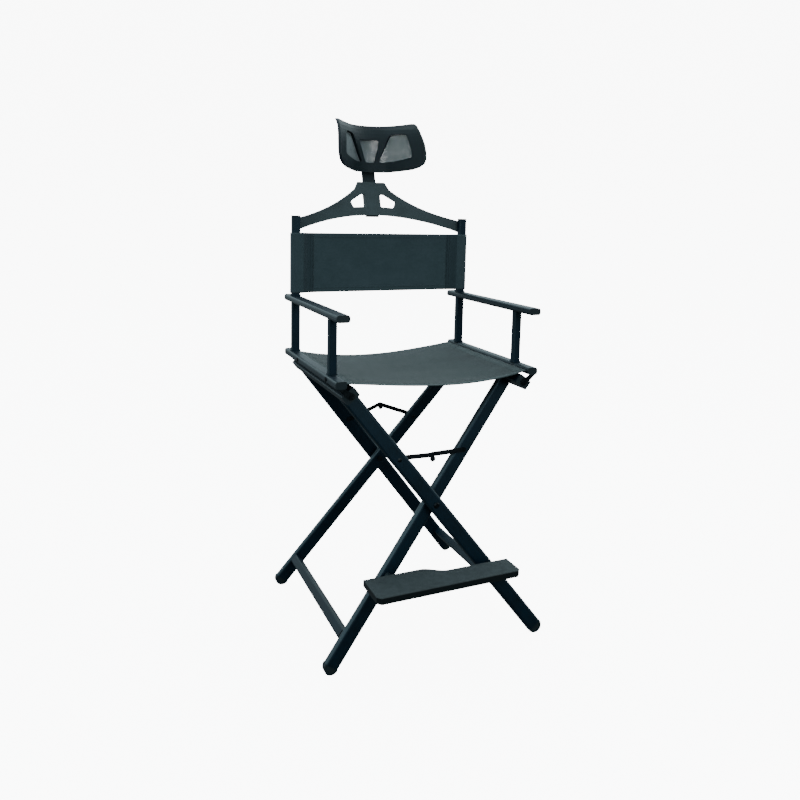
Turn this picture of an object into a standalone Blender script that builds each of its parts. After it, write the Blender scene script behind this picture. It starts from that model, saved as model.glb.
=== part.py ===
"""Tall folding director chair with a footrest and a headrest on an arched bar.

Metres, +Z up. The chair faces -Y, its floor is Z = 0 and X = 0 is its centre plane.
Two leg frames cross at the scissor bolts: frame a runs from the upper left to the lower right,
frame b from the upper right to the lower left. Each is modelled in its own leaning axes:
s runs up along its legs from the scissor bolts, x runs across them and y from front to back.
"""
import math

import bmesh
import bpy
from mathutils import Matrix, Vector

# ---------------------------------------------------------------- clearances
TOUCH = 0.0003           # between pieces that touch
PIN_GAP = 0.0004         # radial room round a pin
SLIDE_GAP = 0.0005       # room round the headrest stem
CLOTH_GAP = 0.0005       # room between cloth and the tube inside it

# ---------------------------------------------------------------- stance
PIVOT_HEIGHT = 0.4074    # scissor bolts above the floor
LEG_LEAN = math.radians(38.0)
BASE_DEPTH = 0.4594      # over the outer faces of frame a's legs, at the scissor bolts
FRONT_SPLAY = 0.107      # the front legs come forward this much for each metre down
REAR_SPLAY = 0.129

# ---------------------------------------------------------------- leg frames
LEG_W, LEG_T = 0.0423, 0.0197      # broad face, narrow face
LEG_CORNER = 0.0070
LEG_WALL = 0.0018
GROOVE_W, GROOVE_D = 0.0046, 0.0010
LEG_TOP = 0.3980                   # end of the legs, along s
LEG_GAP = 0.0078                   # between two crossing legs
LEG_RAIL_W, LEG_RAIL_H = 0.0420, 0.0280
LEG_RAIL_CORNER = 0.0040
LEG_RAIL_FRONT, LEG_RAIL_REAR = -0.2385, 0.2260
BOTTOM_RAIL_UP = 0.0760            # above the feet, along s
BOTTOM_RAIL_W, BOTTOM_RAIL_CORNER = 0.0264, 0.0050
BOTTOM_RAIL_IN = 0.0010            # its outer face, inside the legs' outer faces
FOOT_NECK, FOOT_EDGE = 0.0300, 0.0016
PLUG_LIP, PLUG_NECK = 0.0030, 0.0140

# ---------------------------------------------------------------- arm frames
SEAT_RAIL_OUT, SEAT_RAIL_UP = 0.0268, 0.0297   # its centre, from the hinge on the leg rail
SEAT_RAIL_W, SEAT_RAIL_H = 0.0300, 0.0200
SEAT_RAIL_CORNER = 0.0060
SEAT_RAIL_PAST_FRONT, SEAT_RAIL_PAST_REAR = 0.0040, 0.0200     # beyond the leg rail's ends
RAIL_WALL = 0.0018
POST_IN = 0.0037                   # the posts stand this far inside the seat rail's middle
FRONT_POST_Y, REAR_POST_Y = -0.1551, 0.1936
FRONT_POST_W, REAR_POST_W, POST_D = 0.0225, 0.0250, 0.0200
POST_CORNER = 0.0045
POST_WALL = 0.0016
BACK_POST_RISE = 0.2469            # post tops above the armrests
FLANGE_H, FLANGE_LIP = 0.0030, 0.0018
ARM_IN, ARM_RISE = 0.0026, 0.1670  # armrest centre, from the seat rail's
ARM_W, ARM_H = 0.0360, 0.0190
ARM_CORNER = 0.0065
ARM_FRONT_REACH, ARM_REAR_REACH = 0.0900, 0.0572               # beyond the posts
EAR_T, EAR_R = 0.0030, 0.0095
HINGE_PIN_R, HINGE_HEAD_R, HINGE_HEAD_H = 0.0035, 0.0070, 0.0025
HINGE_PIN_LENGTH = 0.0160          # into the leg rail's plug

# ---------------------------------------------------------------- scissor bolts and stays
SCISSOR_R, SCISSOR_HEAD_R, SCISSOR_HEAD_H = 0.0040, 0.0085, 0.0040
SPACER_R, SPACER_T = 0.0085, 0.0048
STAY_S = {"front": 0.1667, "rear": 0.1730}     # the stays' rivets, along s
STAY_W, STAY_T = 0.0130, 0.0020
STAY_GAP = 0.0005                  # between a stay link and its leg
STAY_RIVET_R, STAY_HEAD_R, STAY_HEAD_H = 0.0028, 0.0060, 0.0022
STAY_RISE = {"front": 0.0, "rear": math.radians(20.5)}
STAY_LUG_R, STAY_LUG_DROP = 0.0080, 0.0110

# ---------------------------------------------------------------- canvas
SEAT_THICK, BACK_THICK = 0.0024, 0.0022
SEAT_FRONT_IN, SEAT_REAR_IN = 0.0075, 0.0060   # the seat's edges, inside the seat rail's ends
SEAT_EDGE_UP = 0.0025              # its sides, above the seat rail's middle
SEAT_FRONT_SAG, SEAT_REAR_SAG = 0.0250, 0.0270
SEAT_STRIPS = 16
BACK_UP, BACK_HEIGHT = 0.0183, 0.1780          # the back panel, above the armrests' middle
BACK_SEAM = 0.0379                 # the sleeves are sewn shut this far inside the posts

# ---------------------------------------------------------------- headrest bar
# heights are from the tops of the back posts
BAR_T = 0.0120
BAR_OVERHANG = 0.0051              # past the middle of the posts
BAR_END_DROP = 0.0476
BAR_TOWER_X, BAR_TOWER_UP = 0.0450, 0.1094
BAR_SHOULDER_X = 0.0580
BAR_ARCH_UP = 0.0049               # its underside at the middle, above the tops of the back posts
BAR_TOP_DROP, BAR_TOP_RISE, BAR_TOP_LENGTH = 0.0466, 0.1863, 0.1720
BAR_BOW = 0.0520                   # the middle stands back from the ends
BAR_LEAN = 0.3200                  # and leans back this much per metre up
BAR_BEND_DROP = 0.0266
BAR_STRIPS = 24
BAR_CURVE_STEPS = 12
BAR_HOLE = ((0.0250, 0.0314), (0.0700, 0.0289), (0.0775, 0.0474), (0.0400, 0.0699), (0.0250, 0.0699))
BAR_HOLE_SOFT = 0.0040             # how far its corners are rounded
BOSS_W, BOSS_T = 0.0480, 0.0180     # the stem's channel, on the bar's back
BOSS_SINK = 0.0015                 # it starts this deep in the bar
BOSS_BOTTOM_UP, BOSS_TOP_UP = 0.0080, 0.1040
KNOB_R, KNOB_H, KNOB_SHANK_R, KNOB_DROP = 0.0075, 0.0050, 0.0030, 0.0286
KNOB_IN = 0.0030                   # their middles, inside the posts'

# ---------------------------------------------------------------- headrest
STEM_W, STEM_T, STEM_CORNER = 0.0440, 0.0110, 0.0030
STEM_END_UP = 0.0005               # above the tops of the back posts
TILT_UP = 0.0460                   # tilt pin, above the bar's tower
TILT_PIN_R, TILT_HEAD_R, TILT_HEAD_H = 0.0030, 0.0055, 0.0020
LUG_T, LUG_R = 0.0040, 0.0085
REST_ROOM = 0.0075                 # between the headrest and its stem, for tilting
REST_RADIUS = 0.0750               # plan curve of the headrest's middle
REST_TURN = math.radians(50)       # where the curve ends and the straight wings begin
REST_LEAN = 0.2000                 # it leans back this much per metre up
REST_ROLL = 0.0110                 # its top edge rolls back by this
REST_CURL = 0.0060                 # and the tips of its wings curl out by about this more
REST_T = 0.0090
REST_UP = 0.0595                   # the headrest's own origin, above the tilt pin
REST_STRIPS = 36
REST_LEVELS = 6                     # slices of the rolled upper half
NET_T, NET_MARGIN = 0.0015, 0.0050
# half outlines, as (distance round the curve, height) from the headrest's origin
REST_EDGE = ((0.0000, -0.0740), (0.0580, -0.0735), (0.1000, -0.0700), (0.1450, -0.0650),
             (0.1720, -0.0575), (0.1900, -0.0465), (0.1975, -0.0310), (0.1985, -0.0110),
             (0.1950, 0.0145), (0.1880, 0.0345), (0.1775, 0.0560), (0.1645, 0.0745),
             (0.1540, 0.0820), (0.1430, 0.0830), (0.1280, 0.0810), (0.0970, 0.0785),
             (0.0500, 0.0765), (0.0000, 0.0755))
REST_SIDE_WINDOW = ((0.0720, 0.0440), (0.0900, 0.0478), (0.1220, 0.0488), (0.1350, 0.0430),
                    (0.1465, 0.0125), (0.1505, -0.0095), (0.1505, -0.0250), (0.1180, -0.0328),
                    (0.0830, -0.0390), (0.0480, -0.0415), (0.0300, -0.0420))
REST_MID_WINDOW = ((0.0370, 0.0290), (0.0155, -0.0440))
REST_WINDOW_SOFT = 0.0070          # how far the windows' corners are rounded

# ---------------------------------------------------------------- footrest
BOARD_DROP, BOARD_T = 0.1694, 0.0190           # its top, below the scissor bolts
BOARD_PAST_HINGE, BOARD_PAST_PEG = 0.0732, 0.0529              # its ends beyond what carries it
BOARD_DEPTH = 0.1055               # at the hinge end
BOARD_STANDOFF_B, BOARD_STANDOFF_A = 0.0120, 0.0150            # its rear edge, before each leg
BOARD_STEP_LEFT, BOARD_STEP_RIGHT = -0.0500, 0.0200
BOARD_STEP_POINTS = 8
BOARD_CORNER, BOARD_EDGE = 0.0100, 0.0015
BLOCK_R, BOARD_PIN_R, BOARD_PIN_LENGTH = 0.0100, 0.0040, 0.0300
PEG_R, PEG_LENGTH = 0.0060, 0.0450

# ---------------------------------------------------------------- derived: leg frames
SIN, COS = math.sin(LEG_LEAN), math.cos(LEG_LEAN)
FOOT_S = TOUCH - (PIVOT_HEIGHT - LEG_W / 2) / COS
BOTTOM_RAIL_S = FOOT_S + BOTTOM_RAIL_UP
LEG_RAIL_S = LEG_TOP + TOUCH + LEG_RAIL_H / 2         # rail centre, where the arm frame hinges
HINGE_X, HINGE_Z = LEG_RAIL_S * SIN, PIVOT_HEIGHT + LEG_RAIL_S * COS
OUTER_Y = BASE_DEPTH / 2 - LEG_T / 2                  # leg centres at the scissor bolts
INNER_Y = OUTER_Y - LEG_T - LEG_GAP
LEG_Y = {"a": OUTER_Y, "b": INNER_Y}
LEAN = {"a": -LEG_LEAN, "b": LEG_LEAN}
SIDE = {"front": -1, "rear": 1}
SLOPE = {"front": FRONT_SPLAY, "rear": -REAR_SPLAY}
# a flat head or collar square to y clears a splayed leg by the rise over its radius
HEAD_ROOM = TOUCH + SCISSOR_HEAD_R * max(FRONT_SPLAY, REAR_SPLAY)

# ---------------------------------------------------------------- derived: arm frames and canvas
SEAT_RAIL_X, SEAT_RAIL_Z = HINGE_X + SEAT_RAIL_OUT, HINGE_Z + SEAT_RAIL_UP
SEAT_RAIL_FRONT, SEAT_RAIL_REAR = LEG_RAIL_FRONT - SEAT_RAIL_PAST_FRONT, LEG_RAIL_REAR + SEAT_RAIL_PAST_REAR
POST_X = SEAT_RAIL_X - POST_IN
ARM_X, ARM_Z = SEAT_RAIL_X - ARM_IN, SEAT_RAIL_Z + ARM_RISE
ARM_FRONT, ARM_REAR = FRONT_POST_Y - ARM_FRONT_REACH, REAR_POST_Y + ARM_REAR_REACH
POST_TOP = ARM_Z + BACK_POST_RISE
SEAT_FRONT, SEAT_REAR = SEAT_RAIL_FRONT + SEAT_FRONT_IN, SEAT_RAIL_REAR - SEAT_REAR_IN
SEAT_EDGE_Z = SEAT_RAIL_Z + SEAT_EDGE_UP
BACK_BOTTOM, BACK_TOP = ARM_Z + BACK_UP, ARM_Z + BACK_UP + BACK_HEIGHT
BACK_SEAM_X = POST_X - BACK_SEAM

# ---------------------------------------------------------------- derived: headrest
BAR_END_X = POST_X + BAR_OVERHANG
BAR_FLAT_X = BAR_END_X * (1 - 2 / BAR_STRIPS)         # its last strips lie flat on the posts
BAR_END_Y = REAR_POST_Y + POST_D / 2 + TOUCH + BAR_T / 2
BAR_TOWER_Z, BAR_BEND_Z = POST_TOP + BAR_TOWER_UP, POST_TOP - BAR_BEND_DROP
BOSS_BOTTOM, BOSS_TOP = POST_TOP + BOSS_BOTTOM_UP, POST_TOP + BOSS_TOP_UP
STEM_BOTTOM = POST_TOP + STEM_END_UP
KNOB_X, KNOB_Z = POST_X - KNOB_IN, POST_TOP - KNOB_DROP
TILT_Z = BAR_TOWER_Z + TILT_UP
REST_Z = TILT_Z + REST_UP
STEM_LEAN = math.atan(BAR_LEAN)
STEM_BACK = (BAR_T / 2 - BOSS_SINK + BOSS_T / 2) / math.cos(STEM_LEAN)     # its middle, behind the bar's
TILT_Y = BAR_END_Y + BAR_BOW + BAR_LEAN * (TILT_Z - BAR_BEND_Z) + STEM_BACK
REST_Y = TILT_Y - STEM_T / 2 / math.cos(STEM_LEAN) - REST_ROOM - REST_T / 2
REST_BACK = REST_Y + REST_LEAN * (REST_UP + REST_EDGE[-1][1]) + REST_T / 2 + REST_ROLL

# ---------------------------------------------------------------- derived: footrest
BOARD_TOP = PIVOT_HEIGHT - BOARD_DROP
BOARD_S = -(BOARD_DROP + BOARD_T / 2) / COS           # its middle, along s
PEG_S = -(BOARD_DROP + BOARD_T + TOUCH + PEG_R) / COS
BOARD_LEFT, BOARD_RIGHT = BOARD_S * SIN - BOARD_PAST_HINGE, BOARD_PAST_PEG - PEG_S * SIN
FACE_A, FACE_B = -OUTER_Y - LEG_T / 2, -INNER_Y - LEG_T / 2    # the front legs' front faces
BOARD_REAR_LEFT = FACE_B + FRONT_SPLAY * BOARD_S - BOARD_STANDOFF_B
BOARD_REAR_RIGHT = FACE_A + FRONT_SPLAY * BOARD_S - BOARD_STANDOFF_A
BOARD_FRONT = BOARD_REAR_LEFT - BOARD_DEPTH
PEG_FRONT = FACE_A + FRONT_SPLAY * PEG_S - PEG_LENGTH
ORIGIN_Y = (BOARD_FRONT + REST_BACK) / 2              # middle of the chair's depth

# kind: colour, roughness, metallic
FINISHES = {
    "alloy": ((0.018, 0.026, 0.032), 0.42, 0.55),
    "plastic": ((0.012, 0.014, 0.016), 0.55, 0.0),
    "steel": ((0.020, 0.022, 0.024), 0.38, 0.85),
    "seat_cloth": ((0.070, 0.088, 0.092), 0.92, 0.0),
    "back_cloth": ((0.024, 0.036, 0.042), 0.92, 0.0),
    "net": ((0.090, 0.105, 0.110), 0.85, 0.0),
    "board": ((0.030, 0.038, 0.040), 0.75, 0.0),
}
SMOOTH_ANGLE = math.radians(35)


# ---------------------------------------------------------------- objects
def paint(name, colour, roughness, metallic):
    """One Principled material for one part."""
    material = bpy.data.materials.new(name)
    material.use_nodes = True
    shader = material.node_tree.nodes["Principled BSDF"]
    shader.inputs["Base Color"].default_value = (*colour, 1.0)
    shader.inputs["Roughness"].default_value = roughness
    shader.inputs["Metallic"].default_value = metallic
    material.diffuse_color = (*colour, 1.0)
    return material


def smooth(data):
    """Smooth shading, sharp at real edges."""
    data.shade_smooth()
    data.set_sharp_from_angle(angle=SMOOTH_ANGLE)


def place(name, data, parent, location, rotation):
    """Link an object under its parent."""
    spot = bpy.data.objects.new(name, data)
    bpy.context.scene.collection.objects.link(spot)
    spot.parent = parent
    spot.location = location
    spot.rotation_euler = rotation
    return spot


def piece(name, mesh, kind, parent, location=(0, 0, 0), rotation=(0, 0, 0)):
    """Make the named part from a bmesh, with its own material."""
    bmesh.ops.recalc_face_normals(mesh, faces=mesh.faces)
    data = bpy.data.meshes.new(name)
    mesh.to_mesh(data)
    mesh.free()
    smooth(data)
    data.materials.append(paint(name, *FINISHES[kind]))
    return place(name, data, parent, location, rotation)


def empty(name, parent=None, location=(0, 0, 0), rotation=(0, 0, 0)):
    """A joint's place: what moves together is parented to it."""
    return place(name, None, parent, location, rotation)


def apply(target, mesh, operation):
    """Cut a bmesh, in the target's own axes, from the target or join it on."""
    bmesh.ops.recalc_face_normals(mesh, faces=mesh.faces)
    data = bpy.data.meshes.new("tool")
    mesh.to_mesh(data)
    mesh.free()
    tool = place("tool", data, target.parent, target.location, target.rotation_euler)
    modifier = target.modifiers.new("shape", "BOOLEAN")
    modifier.operation = operation
    modifier.solver = "EXACT"
    modifier.object = tool
    bpy.context.view_layer.update()
    graph = bpy.context.evaluated_depsgraph_get()
    target.data = bpy.data.meshes.new_from_object(target.evaluated_get(graph))
    target.modifiers.clear()
    bpy.data.objects.remove(tool)
    smooth(target.data)


def cut(target, mesh):
    """Cut a bmesh from a part."""
    apply(target, mesh, "DIFFERENCE")


def join(target, mesh):
    """Join a bmesh onto a part."""
    apply(target, mesh, "UNION")


# ---------------------------------------------------------------- outlines, as lists of (u, v)
def rounded(width, height, corner, steps=3):
    """A rectangle about the origin with rounded corners, anticlockwise."""
    points = []
    for quarter in range(4):
        cu = (width / 2 - corner) * (1 if quarter in (0, 3) else -1)
        cv = (height / 2 - corner) * (1 if quarter in (0, 1) else -1)
        for step in range(steps + 1):
            angle = (quarter + step / steps) * math.pi / 2
            points.append((cu + corner * math.cos(angle), cv + corner * math.sin(angle)))
    return points


def grooved(width, height, corner):
    """A rounded bar section with a shallow groove down each narrow face."""
    outline = rounded(width, height, corner)
    half = len(outline) // 2
    right = [(width / 2, -GROOVE_W / 2), (width / 2 - GROOVE_D, GROOVE_D - GROOVE_W / 2),
             (width / 2 - GROOVE_D, GROOVE_W / 2 - GROOVE_D), (width / 2, GROOVE_W / 2)]
    left = [(-u, -v) for u, v in right]
    return outline[:half] + left + outline[half:] + right


def circle(radius, centre=(0, 0), steps=16):
    """A regular polygon standing for a circle."""
    turns = [2 * math.pi * step / steps for step in range(steps)]
    return [(centre[0] + radius * math.cos(a), centre[1] + radius * math.sin(a)) for a in turns]


def strip(length, radius, steps=6):
    """A strip with round ends, from a pivot at the origin to one at (length, 0)."""
    points = []
    for centre, start in ((length, -math.pi / 2), (0.0, math.pi / 2)):
        for step in range(steps + 1):
            angle = start + math.pi * step / steps
            points.append((centre + radius * math.cos(angle), radius * math.sin(angle)))
    return points


def softened(points, reach, steps=3):
    """The same polygon with its corners rounded off."""
    soft = []
    for index, point in enumerate(points):
        corner = Vector(point)
        before, after = Vector(points[index - 1]) - corner, Vector(points[(index + 1) % len(points)]) - corner
        near = min(reach, before.length / 2.5, after.length / 2.5)
        start, end = corner + before.normalized() * near, corner + after.normalized() * near
        for step in range(steps + 1):
            share = step / steps
            soft.append(tuple(start.lerp(corner, share).lerp(corner.lerp(end, share), share)))
    return soft


def mirrored(half):
    """Both sides of a half outline that starts and ends on u = 0."""
    return list(half) + [(-u, v) for u, v in reversed(half) if u > 0]


# ---------------------------------------------------------------- where an outline goes
def at_y(y, centre=(0, 0)):
    """(u, v) as x and z on the plane y."""
    return lambda u, v: (centre[0] + u, y, centre[1] + v)


def at_z(z, centre=(0, 0)):
    """(u, v) as x and y on the plane z."""
    return lambda u, v: (centre[0] + u, centre[1] + v, z)


def at_x(x, centre=(0, 0)):
    """(u, v) as y and z on the plane x."""
    return lambda u, v: (x, centre[0] + u, centre[1] + v)


def on_slope(y, slope, s=0.0):
    """(u, v) as x and s on the face of a splayed leg; y is the face's place at the scissor bolts."""
    return lambda u, v: (u, y + slope * (s + v), s + v)


def across_leg(s, slope, y=0.0):
    """(u, v) as x and y square across a leg at s."""
    return lambda u, v: (u, y + v + slope * s, s)


# ---------------------------------------------------------------- solids
def loft(*sections, hollow=False, mesh=None):
    """Skin a solid through (outline, placing) sections; a hollow one closes on its first section."""
    mesh = mesh or bmesh.new()
    rings = [[mesh.verts.new(put(u, v)) for u, v in outline] for outline, put in sections]
    pairs = list(zip(rings, rings[1:]))
    if hollow:
        pairs.append((rings[-1], rings[0]))
    else:
        mesh.faces.new(rings[0])
        mesh.faces.new(rings[-1])
    for low, high in pairs:
        for index in range(len(low)):
            after = (index + 1) % len(low)
            mesh.faces.new((low[index], low[after], high[after], high[index]))
    return mesh


def tube(outer, inner, low, high):
    """An open-ended tube between two placings."""
    return loft((outer, low), (outer, high), (inner, high), (inner, low), hollow=True)


def turned(profile, axis="Y", steps=18):
    """Turn a profile of (radius, distance) about an axis through the origin."""
    mesh = bmesh.new()
    rings = []
    for radius, along in profile:
        points = [(0.0, 0.0)] if radius == 0 else circle(radius, steps=steps)
        put = at_y(along) if axis == "Y" else at_x(along)
        rings.append([mesh.verts.new(put(u, v)) for u, v in points])
    for low, high in zip(rings, rings[1:]):
        for index in range(steps):
            after = (index + 1) % steps
            corners = [low[index % len(low)], low[after % len(low)],
                       high[after % len(high)], high[index % len(high)]]
            mesh.faces.new(list(dict.fromkeys(corners)))
    return mesh


def moved(mesh, offset, tilt=0.0):
    """Tilt a bmesh about X, then shift it."""
    matrix = Matrix.Translation(offset) @ Matrix.Rotation(tilt, 4, "X")
    bmesh.ops.transform(mesh, matrix=matrix, verts=mesh.verts)
    return mesh


def drill(target, radius, centre, reach, tilt=0.0):
    """Drill a hole along Y, or along Y tilted about X, right through a part."""
    hole = circle(radius)
    cut(target, moved(loft((hole, at_y(-reach)), (hole, at_y(reach))), centre, tilt))


# ---------------------------------------------------------------- leg frames
LEG_SECTION = grooved(LEG_W, LEG_T, LEG_CORNER)
LEG_BORE = grooved(LEG_W - 2 * LEG_WALL, LEG_T - 2 * LEG_WALL, LEG_CORNER - LEG_WALL)


def stay_y(frame, end):
    """The middle plane of a stay link, carried down its slope to the scissor bolts."""
    inward = -1 if frame == "a" else 1
    return SIDE[end] * (LEG_Y[frame] + inward * (LEG_T / 2 + STAY_GAP + STAY_T / 2))


def make_leg(frame, end, parent):
    """One open leg tube with its scissor bolt hole and its stay rivet hole, and its foot."""
    slope = SLOPE[end]
    y = SIDE[end] * LEG_Y[frame]
    body = tube(LEG_SECTION, LEG_BORE, across_leg(FOOT_S, slope), across_leg(LEG_TOP, slope))
    leg = piece(f"leg_{frame}_{end}", body, "alloy", parent, (0, y, 0))
    drill(leg, SCISSOR_R + PIN_GAP, (0, 0, 0), LEG_W)
    rivet = (0, stay_y(frame, end) - y + slope * STAY_S[end], STAY_S[end])
    drill(leg, STAY_RIVET_R + PIN_GAP, rivet, LEG_W, -math.atan(slope))
    make_foot(frame, end, slope, y, parent)


def make_foot(frame, end, slope, y, parent):
    """A round-ended block below a leg, with a neck up inside its tube."""
    steps = 10
    half = LEG_W / 2
    arc = [math.pi * (1 + step / steps) for step in range(steps + 1)]

    def rim(radius):
        return [(radius * math.cos(a), radius * math.sin(a)) for a in arc]
    top = FOOT_S - TOUCH
    thick = LEG_T / 2
    inset = half - FOOT_EDGE
    block = loft((rim(inset), on_slope(-thick, slope, top)),
                 (rim(half), on_slope(FOOT_EDGE - thick, slope, top)),
                 (rim(half), on_slope(thick - FOOT_EDGE, slope, top)),
                 (rim(inset), on_slope(thick, slope, top)))
    foot = piece(f"foot_{frame}_{end}", block, "plastic", parent, (0, y, 0))
    room = 2 * (LEG_WALL + TOUCH)
    neck = rounded(LEG_W - room - 2 * GROOVE_D, LEG_T - room, LEG_CORNER - LEG_WALL, 2)
    root = top - half / 4
    join(foot, loft((neck, across_leg(root, slope)), (neck, across_leg(FOOT_S + FOOT_NECK, slope))))


def make_bottom_rail(frame, parent):
    """A tube from the rear leg's inner face to the front leg's, cut to their splay."""
    bore_w = BOTTOM_RAIL_W - 2 * LEG_WALL
    section = rounded(BOTTOM_RAIL_W, BOTTOM_RAIL_W, BOTTOM_RAIL_CORNER)
    bore = rounded(bore_w, bore_w, BOTTOM_RAIL_CORNER - LEG_WALL)
    out = math.copysign((LEG_W - BOTTOM_RAIL_W) / 2 - BOTTOM_RAIL_IN, -LEAN[frame])

    def against(end):
        face = SIDE[end] * (LEG_Y[frame] - LEG_T / 2 - TOUCH)
        place_on = on_slope(face, SLOPE[end], BOTTOM_RAIL_S)
        return lambda u, v: place_on(u + out, v)
    rail = tube(section, bore, against("front"), against("rear"))
    piece(f"bottom_rail_{frame}", rail, "alloy", parent)


def make_rail(name, plug_name, centre, size, corner, ends, hole, parent):
    """A tube along Y and the plastic plugs in its two ends, each with a hole for a pin if asked."""
    width, height = size
    section = rounded(width, height, corner)
    bore = rounded(width - 2 * RAIL_WALL, height - 2 * RAIL_WALL, corner - RAIL_WALL)
    room = 2 * (RAIL_WALL + TOUCH)
    neck = rounded(width - room, height - room, corner - RAIL_WALL)
    front, rear = ends["front"], ends["rear"]
    lip = PLUG_LIP + TOUCH
    body = tube(section, bore, at_y(front + lip, centre), at_y(rear - lip, centre))
    piece(name, body, "alloy", parent)
    for end, y in ends.items():
        inward = -SIDE[end]
        inner = y + inward * PLUG_LIP
        plug = loft((section, at_y(y, centre)), (section, at_y(inner, centre)),
                    (neck, at_y(inner, centre)), (neck, at_y(inner + inward * PLUG_NECK, centre)))
        plug = piece(f"{plug_name}_{end}", plug, "plastic", parent)
        if hole:
            drill(plug, hole, (centre[0], y, centre[1]), 2 * HINGE_PIN_LENGTH)


def make_stay(frame, end, parent):
    """One flat stay link with the rivet that carries it in its leg; link a has the release lug."""
    slope = SLOPE[end]
    length = STAY_S[end] * SIN / math.cos(STAY_RISE[end])
    aim = STAY_RISE[end] if frame == "b" else -STAY_RISE[end]
    where = (0, stay_y(frame, end) + slope * STAY_S[end], STAY_S[end])
    pivot = empty(f"{end}_stay_{frame}_pivot", parent, where, (-math.atan(slope), 0, 0))
    toward = 1 if frame == "a" else -1
    outline = [(toward * u, v) for u, v in strip(length, STAY_W / 2)]
    plate = loft((outline, at_y(-STAY_T / 2)), (outline, at_y(STAY_T / 2)))
    link = piece(f"{end}_stay_{frame}", plate, "steel", pivot, rotation=(0, aim - LEAN[frame], 0))
    if frame == "a":
        lug = circle(STAY_LUG_R, (length, -STAY_LUG_DROP))
        join(link, loft((lug, at_y(-STAY_T / 2)), (lug, at_y(STAY_T / 2))))
    outward = SIDE[end] if frame == "a" else -SIDE[end]
    head = STAY_T / 2 + STAY_GAP + LEG_T + TOUCH
    profile = [(0, 0), (STAY_RIVET_R, 0), (STAY_RIVET_R, head), (STAY_HEAD_R, head),
               (STAY_HEAD_R / 2, head + STAY_HEAD_H), (0, head + STAY_HEAD_H)]
    join(link, turned([(radius, outward * along) for radius, along in profile], steps=12))


def make_leg_frame(frame, parent):
    """All that turns with one leg frame about the scissor bolts."""
    for end in ("front", "rear"):
        make_leg(frame, end, parent)
        make_stay(frame, end, parent)
    make_bottom_rail(frame, parent)
    make_rail(f"leg_rail_{frame}", f"leg_rail_plug_{frame}", (0, LEG_RAIL_S),
              (LEG_RAIL_W, LEG_RAIL_H), LEG_RAIL_CORNER,
              {"front": LEG_RAIL_FRONT, "rear": LEG_RAIL_REAR}, HINGE_PIN_R + PIN_GAP, parent)


def make_scissor_bolt(end, parent):
    """A bolt that two legs turn on, with its nut and the spacer collar between the legs."""
    outside = OUTER_Y + LEG_T / 2 + HEAD_ROOM
    inside = INNER_Y - LEG_T / 2 - HEAD_ROOM
    middle = (OUTER_Y + INNER_Y) / 2
    near, far = middle - SPACER_T / 2, middle + SPACER_T / 2
    profile = [(0, outside + SCISSOR_HEAD_H), (SCISSOR_HEAD_R * 0.7, outside + SCISSOR_HEAD_H),
               (SCISSOR_HEAD_R, outside), (SCISSOR_R, outside), (SCISSOR_R, far), (SPACER_R, far),
               (SPACER_R, near), (SCISSOR_R, near), (SCISSOR_R, inside), (SCISSOR_HEAD_R, inside),
               (SCISSOR_HEAD_R, inside - SCISSOR_HEAD_H), (0, inside - SCISSOR_HEAD_H)]
    bolt = turned([(radius, SIDE[end] * along) for radius, along in profile])
    piece(f"scissor_bolt_{end}", bolt, "steel", parent)


# ---------------------------------------------------------------- arm frames
def make_post(name, centre, width, low, high, parent):
    """An upright tube standing on a narrow flange."""
    section = rounded(width, POST_D, POST_CORNER)
    flange = rounded(width + 2 * FLANGE_LIP, POST_D + 2 * FLANGE_LIP, POST_CORNER)
    bore = rounded(width - 2 * POST_WALL, POST_D - 2 * POST_WALL, POST_CORNER - POST_WALL)
    foot, top = at_z(low, centre), at_z(high, centre)
    step = at_z(low + FLANGE_H, centre)
    body = loft((flange, foot), (flange, step), (section, step), (section, top), (bore, top),
                (bore, foot), hollow=True)
    piece(name, body, "alloy", parent)


def make_post_cap(name, centre, parent):
    """The plastic cap in the top of a back post."""
    top = rounded(REAR_POST_W, POST_D, POST_CORNER)
    room = 2 * (POST_WALL + TOUCH)
    neck = rounded(REAR_POST_W - room, POST_D - room, POST_CORNER - POST_WALL)
    under = POST_TOP - PLUG_LIP
    cap = loft((top, at_z(POST_TOP, centre)), (top, at_z(under, centre)), (neck, at_z(under, centre)),
               (neck, at_z(under - PLUG_NECK, centre)))
    piece(name, cap, "plastic", parent)


def make_arm_hinge(name, side, end, parent):
    """An ear welded under a seat rail and its pin, which turns in the leg rail's plug."""
    outward = SIDE[end]
    face = {"front": LEG_RAIL_FRONT, "rear": LEG_RAIL_REAR}[end]
    near = face + outward * PIN_GAP
    far = near + outward * EAR_T
    under = SEAT_RAIL_Z - SEAT_RAIL_H / 2 - TOUCH
    flat = SEAT_RAIL_W / 2 - SEAT_RAIL_CORNER
    steps = 8
    arc = [math.pi * (0.75 + step / steps) for step in range(steps + 1)]
    shape = [(HINGE_X + EAR_R * math.cos(a), HINGE_Z + EAR_R * math.sin(a)) for a in arc]
    shape += [(SEAT_RAIL_X + flat, under), (SEAT_RAIL_X - flat, under)]
    outline = [(side * u, v) for u, v in shape]
    ear = piece(name, loft((outline, at_y(near)), (outline, at_y(far))), "steel", parent)
    tip = face - outward * HINGE_PIN_LENGTH
    head = far + outward * HINGE_HEAD_H
    profile = [(0, tip), (HINGE_PIN_R, tip), (HINGE_PIN_R, near + outward * EAR_T / 2),
               (HINGE_HEAD_R, near + outward * EAR_T / 2), (HINGE_HEAD_R * 0.8, head), (0, head)]
    join(ear, moved(turned(profile, steps=16), (side * HINGE_X, 0, HINGE_Z)))


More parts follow.
